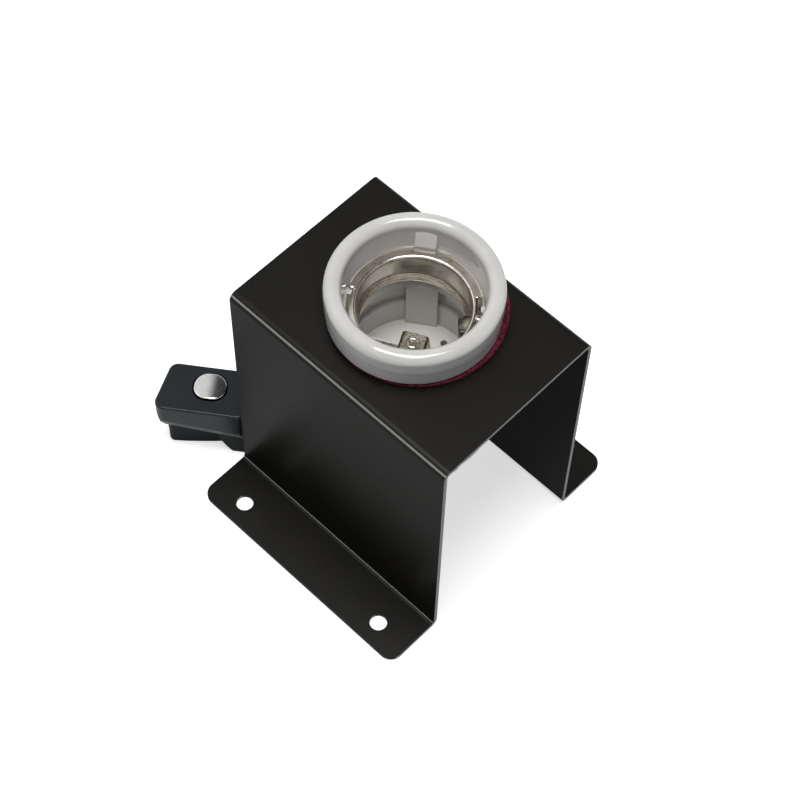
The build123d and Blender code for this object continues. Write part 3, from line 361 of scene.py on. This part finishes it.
def powder_coat():
    """Black coat on folded sheet, with a painted highlight: a lighter colour on the cut ends and in a thin
    line along the bends.
    """
    p = Paint("powder_coat")
    coat = p.span(p.noise(26, 2), (0.0052, 0.0046, 0.0036), (0.0072, 0.0065, 0.0052))
    grain = p.noise(2600, 2, 0.6)
    across, along, upward = p.facing_axes()
    # Painted highlight: the faces of the cut ends, and a thin line along each bend, take a lighter colour
    cut_end_highlight = p.span(along, 0.0, 1.0, low=0.86, high=0.95)
    bend = p.span(calculate(p.tree, "MULTIPLY", across, upward), 0.0, 0.85, low=0.476, high=0.490)
    painted_highlight = calculate(p.tree, "MAXIMUM", cut_end_highlight, bend)
    p.link(p.mix(painted_highlight, coat, (0.26, 0.255, 0.24)), "Base Color")
    p.link(p.span(grain, 0.33, 0.41), "Roughness")
    p.link(p.span(p.grazing(), 0.17, 0.035, low=0.15, high=0.6), "Specular IOR Level")
    p.bump(grain, strength=0.14, depth=0.00005)
    p.bump(p.noise(700, 2), strength=0.06, depth=0.0001)
    return p.material


def glaze():
    """Grey-white porcelain under a clear glaze, with a few dark specks."""
    p = Paint("porcelain_glaze")
    body = p.span(p.noise(55, 3), (0.54, 0.53, 0.505), (0.61, 0.60, 0.575))
    speck = p.span(p.cells(420), 1.0, 0.0, low=0.0, high=0.055)
    p.link(p.mix(speck, body, (0.30, 0.29, 0.27)), "Base Color")
    p.link(p.span(p.noise(160, 3), 0.10, 0.2, low=0.35), "Roughness")
    p.bump(p.noise(70, 2), strength=0.35, depth=0.0009)
    return p.set(Coat_Weight=0.55, Coat_Roughness=0.035, Specular_IOR_Level=0.3).material


def metal(name, light, dark, rough, scale=140, spots=None):
    """Cloudy metal between two colours and two roughnesses, with spots of a third colour if it is given."""
    p = Paint(name)
    colour = p.span(p.noise(scale, 4, 0.6), dark, light, low=0.32, high=0.68)
    if spots:
        tarnish = p.span(p.noise(330, 4, 0.65), 0.0, 1.0, low=0.56, high=0.72)
        colour = p.mix(tarnish, colour, spots)
    p.link(colour, "Base Color")
    p.link(p.span(p.noise(scale * 4, 3, 0.6), *rough), "Roughness")
    p.bump(p.noise(scale * 9, 2, 0.6), strength=0.12, depth=0.00005)
    return p.set(Metallic=1.0).material


def plastic(name, dark, light, rough=(0.4, 0.52), scale=1800, bump=0.3, gloss=0.5):
    """Grained plastic or rubber, whose gloss falls off where it is seen along."""
    p = Paint(name)
    p.link(p.span(p.noise(70, 3), dark, light), "Base Color")
    grain = p.noise(scale, 2, 0.6)
    p.link(p.span(grain, *rough), "Roughness")
    p.bump(grain, strength=bump, depth=0.00004)
    p.link(p.span(p.grazing(), gloss, gloss * 0.4, low=0.15, high=0.65), "Specular IOR Level")
    return p.material


def cloth_braid():
    """Dark red fibre with shaded stitches."""
    p = Paint("braid_fibre")
    fibre = p.noise(3200, 3, 0.7)
    stitch = p.cells(950)
    base = p.span(fibre, (0.13, 0.012, 0.030), (0.27, 0.035, 0.068), high=0.75)
    shade = p.span(stitch, 0.0, 0.8, low=0.40, high=0.66)
    p.link(p.mix(shade, base, (0.030, 0.006, 0.010)), "Base Color")
    p.bump(calculate(p.tree, "SUBTRACT", fibre, stitch), strength=0.7, depth=0.0003)
    return p.set(Roughness=0.85, Specular_IOR_Level=0.15).material


looks = {
    "powder": powder_coat(),
    "porcelain": glaze(),
    "nickel": metal(
        "nickel_plate", (0.80, 0.76, 0.70), (0.62, 0.57, 0.50), (0.14, 0.26), spots=(0.42, 0.34, 0.25)),
    "spring": metal("spring_steel", (0.25, 0.235, 0.20), (0.14, 0.13, 0.11), (0.22, 0.34)),
    "contact": metal(
        "contact_nickel", (0.46, 0.44, 0.38), (0.28, 0.26, 0.22), (0.22, 0.36), spots=(0.18, 0.15, 0.11)),
    "eyelet": metal("eyelet_nickel", (0.80, 0.78, 0.73), (0.62, 0.59, 0.54), (0.1, 0.2)),
    "brass": metal("brass_plain", (0.68, 0.50, 0.24), (0.50, 0.35, 0.15), (0.22, 0.38)),
    "zinc": metal("zinc_plate", (0.62, 0.63, 0.65), (0.45, 0.46, 0.48), (0.25, 0.4), scale=260),
    "gland": plastic("gland_nylon", (0.016, 0.016, 0.018), (0.024, 0.024, 0.026)),
    "sheath": plastic("lead_sheath", (0.010, 0.010, 0.011), (0.018, 0.018, 0.019), (0.5, 0.65), 900),
    "brown": plastic("core_brown", (0.10, 0.035, 0.014), (0.15, 0.05, 0.02), (0.35, 0.45)),
    "blue": plastic("core_blue", (0.012, 0.05, 0.22), (0.02, 0.075, 0.30), (0.35, 0.45)),
    "case": plastic(
        "connector_case", (0.0070, 0.0105, 0.0135), (0.011, 0.0155, 0.0195),
        (0.26, 0.34), 1500, bump=0.08, gloss=0.3),
    # Painted shade: a darker, less glossy copy of the case, for the connector's lower shell
    "case_painted_shade": plastic(
        "connector_case_painted_shade", (0.0055, 0.008, 0.010), (0.0085, 0.012, 0.0145),
        (0.3, 0.4), 1500, bump=0.08, gloss=0.1),
    "button": metal("button_satin", (0.84, 0.85, 0.83), (0.72, 0.73, 0.71), (0.12, 0.18), scale=300),
    "braid": cloth_braid(),
}
wearing = {
    "powder": ["bracket"],
    "porcelain": ["porcelain_collar", "porcelain_base", "porcelain_cover"],
    "nickel": ["screw_shell", "shell_rivets"],
    "spring": ["grip_spring", "backing_spring", "latch_spring"],
    "contact": ["centre_contact"],
    "eyelet": ["contact_eyelet"],
    "brass": ["shell_strap", "line_terminal", "neutral_terminal", "clamp_inserts", "contact_sleeves"],
    "zinc": ["terminal_screws", "terminal_washers", "clamp_screws", "clamp_washers", "connector_screws"],
    "gland": ["gland_body", "gland_cap", "gland_locknut"],
    "sheath": ["supply_lead", "cable_boot"],
    "brown": ["line_core"],
    "blue": ["neutral_core"],
    "case": ["connector_top"],
    # The lower shell wears the copy of the case with painted shade
    "case_painted_shade": ["connector_bottom"],
    "button": ["latch_button"],
    "braid": ["gasket"],
}


def dress_nodes():
    for look, names in wearing.items():
        for name in names:
            mesh = nodes[name].data
            mesh.materials.clear()
            mesh.materials.append(looks[look])


# Pieces modelled here


def finish_piece(name, verts, faces, look):
    """Mesh object on the holder from millimetre points, with its normals made consistent."""
    mesh = bpy.data.meshes.new(name)
    mesh.from_pydata([tuple(mm(c) for c in v) for v in verts], [], faces)
    work = bmesh.new()
    work.from_mesh(mesh)
    bmesh.ops.recalc_face_normals(work, faces=work.faces)
    work.to_mesh(mesh)
    work.free()
    mesh.shade_smooth()
    mesh.materials.append(looks[look])
    made = bpy.data.objects.new(name, mesh)
    scene.collection.objects.link(made)
    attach(made, "holder")
    return made


def skin(count, size, first=0, closed=False):
    """Faces between neighbouring loops of this many points, numbered from the first point on."""
    faces = []
    for k in range(count if closed else count - 1):
        here = first + k * size
        there = first + (k + 1) % count * size
        for j in range(size):
            step = (j + 1) % size
            faces.append((here + j, here + step, there + step, there + j))
    return faces


def cap(first, size):
    """One face over a loop."""
    return tuple(range(first, first + size))


def rounded_path(points, radii, steps=6):
    """Flat path of straight runs joined by arcs, as a list of points."""
    out = [Vector(points[0])]
    for before, here, after, radius in zip(points, points[1:], points[2:], radii):
        before, here, after = Vector(before), Vector(here), Vector(after)
        a = (before - here).normalized()
        b = (after - here).normalized()
        bend = math.pi - a.angle(b)
        reach = radius * math.tan(bend / 2)
        centre = here + (a + b).normalized() * radius / math.cos(bend / 2)
        start = here + a * reach - centre
        end = here + b * reach - centre
        for k in range(steps + 1):
            share = k / steps
            arm = start * math.sin((1 - share) * bend) + end * math.sin(share * bend)
            out.append(centre + arm / math.sin(bend))
    out.append(Vector(points[-1]))
    return out


def dense(path, gap):
    """Same path with more points, none further apart than this gap."""
    out = [path[0]]
    for a, b in zip(path, path[1:]):
        count = max(1, math.ceil((b - a).length / gap))
        out += [a.lerp(b, k / count) for k in range(1, count + 1)]
    return out


def apply_all(made):
    """The modifiers' result becomes the mesh itself."""
    bpy.context.view_layer.update()
    seen = made.evaluated_get(bpy.context.evaluated_depsgraph_get())
    mesh = bpy.data.meshes.new_from_object(seen)
    made.modifiers.clear()
    made.data = mesh


def soften(made):
    """Small rounds on the sharp edges, with smooth shading that keeps the flat faces flat."""
    bevel = made.modifiers.new("rounds", "BEVEL")
    bevel.width = mm(EDGE_ROUND)
    bevel.segments = EDGE_SEGMENTS
    bevel.limit_method = "ANGLE"
    bevel.angle_limit = math.radians(EDGE_ANGLE)
    bevel.harden_normals = True
    apply_all(made)


def ribbon(name, path, half_width, thickness, look, across=9):
    """Bent strip on the contact's upright plane; half_width is a function of the run from its start."""
    out, side = upright_plane(CONTACT_ANGLE)
    run = 0.0
    verts = []
    for k, here in enumerate(path):
        before = path[max(k - 1, 0)]
        after = path[min(k + 1, len(path) - 1)]
        heading = (after - before).normalized()
        normal = Vector((-heading.y, heading.x))
        run += (here - before).length
        half = half_width(run)
        shares = [2 * j / (across - 1) - 1 for j in range(across)]
        for sign, row in ((1, shares), (-1, shares[::-1])):
            spot = here + normal * sign * thickness / 2
            middle = SOCKET * 1000 + out * spot.x + Vector((0, 0, spot.y))
            verts += [middle + side * half * share for share in row]
    size = 2 * across
    faces = skin(len(path), size) + [cap(0, size), cap(len(verts) - size, size)]
    made = finish_piece(name, verts, faces, look)
    soften(made)
    return made


def build_latch_spring():
    """Coil of round wire that shortens under the button."""
    middle = connector_point(COIL_ALONG, COIL_ACROSS, 0) * 1000
    path = []
    for k in range(COIL_STEPS + 1):
        t = k / COIL_STEPS
        lift = limited((t * COIL_TURNS - COIL_END_TURNS) / (COIL_TURNS - 2 * COIL_END_TURNS))
        a = 2 * math.pi * COIL_TURNS * t
        x = middle.x + COIL_RADIUS * math.cos(a)
        y = middle.y + COIL_RADIUS * math.sin(a)
        path.append(Vector((x, y, COIL_LOW + (COIL_HIGH - COIL_LOW) * lift)))
    verts = []
    for k, here in enumerate(path):
        heading = (path[min(k + 1, COIL_STEPS)] - path[max(k - 1, 0)]).normalized()
        outward = Vector((here.x - middle.x, here.y - middle.y, 0)).normalized()
        side = heading.cross(outward).normalized()
        for j in range(COIL_SECTION):
            t = 2 * math.pi * j / COIL_SECTION
            reach, rise = COIL_WIRE_RADIUS * math.cos(t), COIL_WIRE_RADIUS * math.sin(t)
            verts.append(here + outward * reach + side * rise)
    faces = skin(len(path), COIL_SECTION)
    faces += [cap(0, COIL_SECTION), cap(len(verts) - COIL_SECTION, COIL_SECTION)]
    coil = finish_piece("latch_coil", verts, faces, "spring")
    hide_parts("latch_spring")
    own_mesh(coil)
    return coil


def build_lead(latch_coil):
    """Sheathed lead from the gland's mouth to the boot; the latch coil that it is given is not used."""
    route = [
        (0.01306, 0.00083, 0.046),
        (0.01306, 0.00083, 0.029),
        (0.00658, 0.00972, 0.0149),
        (-0.00519, 0.02589, 0.010),
        tuple(connector_point(BOOT_ALONG, 0, BOOT_HEIGHT)),
    ]
    curve = bpy.data.curves.new("supply_lead_flex", "CURVE")
    curve.dimensions = "3D"
    curve.resolution_u = 24
    curve.bevel_depth = mm(LEAD_RADIUS)
    curve.bevel_resolution = 6
    curve.use_fill_caps = True
    spline = curve.splines.new("NURBS")
    spline.points.add(len(route) - 1)
    for point, place in zip(spline.points, route):
        point.co = (*place, 1.0)
    spline.order_u = 3
    spline.use_endpoint_u = True
    curve.materials.append(looks["sheath"])
    lead = bpy.data.objects.new("supply_lead_flex", curve)
    scene.collection.objects.link(lead)
    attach(lead, "holder")
    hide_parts("supply_lead")


def wall_radius(angle, height):
    """Inner radius of the shell's wall: plain band, then the first turn of a right-hand round thread."""
    round_from_side = (angle - THREAD_SIDE + math.pi) % (2 * math.pi) - math.pi
    start = THREAD_START + PITCH * round_from_side / (2 * math.pi)
    depth = limited((math.pi - abs(round_from_side)) / THREAD_RUN_OUT)
    below = start - height
    from_roll = below - ROLL_BELOW
    groove = GROOVE_DEPTH * hump(below, GROOVE_WIDTH)
    roll = (CREST - ROOT) * hump(from_roll, ROLL_WIDTH)
    ripple = RIPPLE * math.cos(2 * math.pi * below / RIPPLE_PITCH) * hump(from_roll, RIPPLE_WIDTH)
    return CREST - BAND_STEP + depth * (groove - roll + ripple)


def shell_profile(angle):
    """The shell's section at this angle, as radii and heights: its inner side down, its outer side up."""
    lip_r = CREST - BAND_STEP + LIP_RADIUS
    lip_z = SHELL_TOP - LIP_RADIUS
    back = SHELL_TOP - SHELL_SHEET
    flange_top = FLANGE_RADIUS - FLANGE_CHAMFER
    wall_top = lip_z - WALL_BELOW_LIP
    heights = [wall_top - (wall_top - SHELL_FOOT) * k / WALL_STEPS for k in range(WALL_STEPS + 1)]
    quarter = [math.pi / 2 + math.pi / 2 * k / LIP_STEPS for k in range(1, LIP_STEPS + 1)]

    def lip(across, upward):
        return [(lip_r + across * math.cos(a), lip_z + upward * math.sin(a)) for a in quarter]

    inside = [
        (FLANGE_RADIUS, SHELL_TOP - FLANGE_EDGE), (flange_top, SHELL_TOP), (FLANGE_FLAT_RADIUS, SHELL_TOP),
        (FLANGE_RISE_RADIUS, SHELL_TOP + FLANGE_RISE), (lip_r, SHELL_TOP + LIP_RISE),
        *lip(LIP_RADIUS, LIP_RADIUS + LIP_RISE),
        *[(wall_radius(angle, h), h) for h in heights],
    ]
    outside = [
        *[(wall_radius(angle, h) + SHELL_SHEET, h) for h in heights[::-1]],
        *lip(LIP_BACK_RADIUS, LIP_BACK_RADIUS)[::-1],
        (lip_r, back), (FLANGE_FLAT_RADIUS, back), (flange_top, back), (FLANGE_RADIUS, back + FLANGE_EDGE),
    ]
    return inside, outside


def is_open(angle, radius, height):
    """True where the grip spring's window or slot, or a notch in the flange, leaves no metal."""
    from_grip = abs(angle - GRIP_ANGLE)
    from_notch = min(abs(angle - notch) for notch in NOTCH_ANGLES)
    in_flange = height > FLANGE_BOTTOM
    window = from_grip < WINDOW_HALF_ANGLE and height < WINDOW_TOP
    slot = from_grip < SLOT_HALF_ANGLE and SLOT_INNER < radius < SLOT_OUTER
    notch = from_notch < NOTCH_HALF_ANGLE and radius > NOTCH_FOOT
    return window or in_flange and (slot or notch)


def open_cells(profiles, foot):
    """Cells without metal, as ring and step, each with the one behind it on the sheet's other face."""
    size = len(profiles[0])
    gone = set()
    for k, profile in enumerate(profiles):
        angle = (k + 0.5) * 360 / SHELL_RINGS
        angle = angle - 360 if angle > 180 else angle
        for j in range(size - 1):
            radius, height = ((a + b) / 2 for a, b in zip(profile[j], profile[j + 1]))
            if j != foot and is_open(angle, radius, height):
                gone |= {(k, j), (k, size - 2 - j)}
    return gone


def shell_faces(gone, size, foot):
    """Faces of the closed section turned around the axis, but for the open cells."""
    faces = []
    for k in range(SHELL_RINGS):
        here, there = k * size, (k + 1) % SHELL_RINGS * size
        for j in range(size):
            step = (j + 1) % size
            between_open = j in (foot, size - 1) and (k, j - 1) in gone and (k, step) in gone
            if (k, j) not in gone and not between_open:
                faces.append((here + j, there + j, there + step, here + step))
    return faces


def opening_walls(gone, size, foot):
    """Faces through the sheet around each opening."""
    faces = []
    for k, j in sorted(cell for cell in gone if cell[1] < foot):
        back = size - 1 - j
        here, there = k * size, (k + 1) % SHELL_RINGS * size
        for turn, ring in ((-1, here), (1, there)):
            if ((k + turn) % SHELL_RINGS, j) not in gone:
                faces.append((ring + j, ring + j + 1, ring + back - 1, ring + back))
        for step, edge in ((-1, j), (1, j + 1)):
            if (k, j + step) not in gone and 0 <= j + step < foot:
                behind = size - 1 - edge
                faces.append((here + edge, there + edge, there + behind, here + behind))
    return faces


def build_shell():
    """Sections all around the axis, joined, with the openings cut through both faces."""
    profiles = []
    verts = []
    for k in range(SHELL_RINGS):
        a = 2 * math.pi * k / SHELL_RINGS
        inside, outside = shell_profile(a)
        profiles.append(inside + outside)
        verts += [(SOCKET_X + r * math.cos(a), SOCKET_Y + r * math.sin(a), z) for r, z in profiles[-1]]
    foot = len(inside) - 1
    size = len(profiles[0])
    gone = open_cells(profiles, foot)
    faces = shell_faces(gone, size, foot) + opening_walls(gone, size, foot)
    used = sorted({i for face in faces for i in face})
    number = {old: new for new, old in enumerate(used)}
    faces = [tuple(number[i] for i in face) for face in faces]
    shell = finish_piece("screw_shell_rolled", [verts[i] for i in used], faces, "nickel")
    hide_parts("screw_shell")


def flattened(wave, power):
    """A sine or cosine wave with flatter tops, for a rounded flat section."""
    return math.copysign(abs(wave) ** power, wave)


def gasket_point(a, t):
    """Point of the braided ring, at this angle around it and this angle around its section."""
    across, upward = math.cos(t), math.sin(t)
    middle, half = (GASKET_OUTER + GASKET_INNER) / 2, (GASKET_OUTER - GASKET_INNER) / 2
    r = middle + half * flattened(across, SIDE_FLATNESS)
    z = (GASKET_LOW + GASKET_HIGH) / 2 + (GASKET_HIGH - GASKET_LOW) / 2 * flattened(upward, FACE_FLATNESS)
    strands = math.sin(STRANDS * a + STRAND_TURNS * t) * math.sin(STRANDS * a - STRAND_TURNS * t)
    strand = abs(strands) ** STRAND_FLATNESS
    r += STRAND_WIDTH * strand * across
    z += max(0.0, STRAND_HEIGHT * strand * upward)
    return SOCKET_X + GASKET_SHIFT + r * math.cos(a), SOCKET_Y + r * math.sin(a), z


def cut_screw_holes(ring):
    for angle in SCREW_ANGLES:
        spot = round_socket(angle, SCREW_CIRCLE, SCREW_HOLE_MIDDLE)
        bpy.ops.mesh.primitive_cylinder_add(
            vertices=32, radius=mm(SCREW_HOLE_RADIUS), depth=mm(SCREW_HOLE_DEPTH), location=spot)
        cutter = bpy.context.object
        cut = ring.modifiers.new("hole", "BOOLEAN")
        cut.object = cutter
        cut.solver = "EXACT"
        apply_all(ring)
        bpy.data.objects.remove(cutter)


def build_gasket():
    """Braided ring: a rounded flat section with crossing strands worked into its face."""
    verts = [
        gasket_point(2 * math.pi * k / GASKET_RINGS, 2 * math.pi * j / GASKET_SECTION)
        for k in range(GASKET_RINGS) for j in range(GASKET_SECTION)
    ]
    ring = finish_piece("gasket_braid", verts, skin(GASKET_RINGS, GASKET_SECTION, closed=True), "braid")
    cut_screw_holes(ring)
    ring.data.materials.clear()
    ring.data.materials.append(looks["braid"])
    ring.data.shade_smooth()
    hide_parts("gasket")


def fold_width(run):
    """Half width of the fold: narrow where it rises from the strip, wide and rounded over the plate."""
    rise = limited((run - FOLD_NARROW_RUN) / FOLD_WIDENING_RUN)
    wide = STRIP_HALF_WIDTH + FOLD_WIDENING * rise * rise * (3 - 2 * rise)
    end = limited((FOLD_LENGTH - run) / FOLD_ROUND, FOLD_TIP)
    return wide - FOLD_ROUND * (1 - math.sqrt(1 - (1 - end) ** 2))


def build_contact():
    """Strip from its tag up the riser and inward, and the fold over its end."""
    still = rounded_path(
        [(TAG_END, TAG_HEIGHT), (RISER, TAG_HEIGHT), (RISER, RUN_HEIGHT), (FOLD_FOOT, RUN_HEIGHT)],
        (STRIP_BEND, STRIP_BEND))
    strip = ribbon(
        "contact_strip", dense(still, STRIP_GAP), lambda run: STRIP_HALF_WIDTH, CONTACT_SHEET, "contact")
    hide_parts("centre_contact")
    top = FOLD_TOP - CONTACT_SHEET / 2
    fold = rounded_path(
        [(FOLD_FOOT, RUN_HEIGHT), (FOLD_HEAD, top), (-FOLD_HEAD, top), (-FOLD_FOOT, RUN_HEIGHT)],
        (FOLD_BEND, FOLD_BEND), steps=8)
    bridge = ribbon(
        "contact_bridge", dense(fold, FOLD_GAP), fold_width, CONTACT_SHEET, "contact", across=15)
    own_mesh(bridge)


def build_backing_leaf():
    """Arched leaf spring under the fold."""
    arc = [math.pi / 2 * (k / LEAF_STEPS - 1) * LEAF_ARC for k in range(2 * LEAF_STEPS + 1)]
    leaf = [Vector((LEAF_HALF_SPAN * math.sin(t), LEAF_FOOT + LEAF_RISE * math.cos(t))) for t in arc]
    backing = ribbon("backing_leaf", leaf, lambda run: LEAF_HALF_WIDTH, LEAF_SHEET, "spring")
    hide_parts("backing_spring")
    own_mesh(backing)


def build_grip_crown():
    """Low dome with a short wall and a flat back."""
    out, side = upright_plane(GRIP_ANGLE)
    run = (out * CROWN_RUN[0] + Vector((0, 0, CROWN_RUN[1]))).normalized()
    normal = side.cross(run).normalized()
    middle = SOCKET * 1000 + out * CROWN_RADIUS + Vector((0, 0, CROWN_HEIGHT)) + normal * CROWN_LIFT
    verts = [middle + normal * CROWN_RISE]
    for k in range(1, CROWN_RINGS + 1):
        share = k / CROWN_RINGS
        rise = CROWN_RISE * (1 - share ** CROWN_SLOPE)
        for j in range(CROWN_AROUND):
            t = 2 * math.pi * j / CROWN_AROUND
            forth = run * CROWN_HALF_RUN * share * math.cos(t)
            sideways = side * CROWN_HALF_WIDTH * share * math.sin(t)
            verts.append(middle + (forth + sideways) + normal * rise)
    verts += [v - normal * CROWN_SINK for v in verts[-CROWN_AROUND:]]
    faces = [(0, 1 + j, 1 + (j + 1) % CROWN_AROUND) for j in range(CROWN_AROUND)]
    faces += skin(CROWN_RINGS + 1, CROWN_AROUND, first=1)
    faces.append(cap(len(verts) - CROWN_AROUND, CROWN_AROUND))
    crown = finish_piece("grip_crown", verts, faces, "spring")


# Floor, world and lamps


def seen_rays(tree, direct=1.0, mirrored=1.0):
    """Strength for the rays that show the background: from the camera, and in gloss or through glass."""
    rays = tree.nodes.new("ShaderNodeLightPath").outputs
    strength = calculate(tree, "MULTIPLY", rays["Is Camera Ray"], direct)
    for name in ("Is Glossy Ray", "Is Transmission Ray"):
        share = calculate(tree, "MULTIPLY", rays[name], mirrored)
        strength = calculate(tree, "MAXIMUM", strength, share)
    return strength


def build_floor():
    half = FLOOR_HALF
    mesh = bpy.data.meshes.new("floor")
    mesh.from_pydata(
        [(-half, -half, 0), (half, -half, 0), (half, half, 0), (-half, half, 0)], [], [(0, 1, 2, 3)])
    floor = bpy.data.objects.new("floor", mesh)
    scene.collection.objects.link(floor)
    p = Paint("floor_white")
    p.link(p.span(p.noise(4, 2), 0.86, 0.88), "Base Color")
    p.link(seen_rays(p.tree, *FLOOR_GLOW), "Emission Strength")
    p.set(Roughness=0.9, Specular_IOR_Level=0.1, Emission_Color=(*WHITE, 1.0))
    mesh.materials.append(p.material)
    floor.location.z = -FLOOR_DROP


def through(tree, source, span, low, high):
    """Goes from low to high while the source goes through the span."""
    node = tree.nodes.new("ShaderNodeMapRange")
    tree.links.new(source, node.inputs["Value"])
    for name, value in zip(("From Min", "From Max", "To Min", "To Max"), (*span, low, high)):
        feed(tree, value, node.inputs[name])
    return node.outputs["Result"]


def background(tree, colour, strength):
    node = tree.nodes.new("ShaderNodeBackground")
    feed(tree, colour, node.inputs["Color"])
    feed(tree, strength, node.inputs["Strength"])
    return node.outputs["Background"]


def build_world():
    """Even light from all sides; what the camera or gloss sees is white low down and the ceiling above."""
    world = bpy.data.worlds.new("studio")
    scene.world = world
    world.use_nodes = True
    sky = world.node_tree
    sky.nodes.remove(sky.nodes["Background"])
    direction = sky.nodes.new("ShaderNodeTexCoord").outputs["Generated"]
    side = sky.nodes.new("ShaderNodeVectorMath")
    side.operation = "DOT_PRODUCT"
    side.inputs[1].default_value = BRIGHT_SIDE
    sky.links.new(direction, side.inputs[0])
    heading = sky.nodes.new("ShaderNodeSeparateXYZ")
    sky.links.new(direction, heading.inputs["Vector"])
    ceiling = through(sky, side.outputs["Value"], BRIGHT_SPAN, *CEILING)
    backdrop = through(sky, heading.outputs["Z"], HORIZON_SPAN, 1.0, ceiling)
    choice = sky.nodes.new("ShaderNodeMixShader")
    sky.links.new(seen_rays(sky), choice.inputs["Fac"])
    sky.links.new(background(sky, AMBIENT_COLOUR, AMBIENT), choice.inputs[1])
    sky.links.new(background(sky, WHITE, backdrop), choice.inputs[2])
    sky.links.new(choice.outputs["Shader"], sky.nodes["World Output"].inputs["Surface"])


def add_lamp(name, place, size, power, colour):
    data = bpy.data.lights.new(name, "AREA")
    data.shape = "RECTANGLE"
    data.size, data.size_y = size
    data.energy = power
    data.color = colour
    lamp = bpy.data.objects.new(name, data)
    lamp.location = place
    lamp.rotation_euler = (LAMP_AIM - Vector(place)).to_track_quat("-Z", "Y").to_euler()
    scene.collection.objects.link(lamp)


place_camera()
dress_nodes()
build_lead(build_latch_spring())
build_shell()
build_gasket()
build_contact()
build_backing_leaf()
build_grip_crown()
build_floor()
build_world()
add_lamp("overhead", (-0.08, -0.02, 1.25), (0.55, 0.55), 12.5, (1.0, 0.985, 0.96))
add_lamp("far_left", (-0.25, 0.80, 0.85), (0.55, 0.35), 0.6, (1.0, 0.99, 0.97))
add_lamp("front", (0.1, -0.85, 1.0), (0.6, 0.16), 0.25, WHITE)

scene.view_settings.view_transform = "Standard"
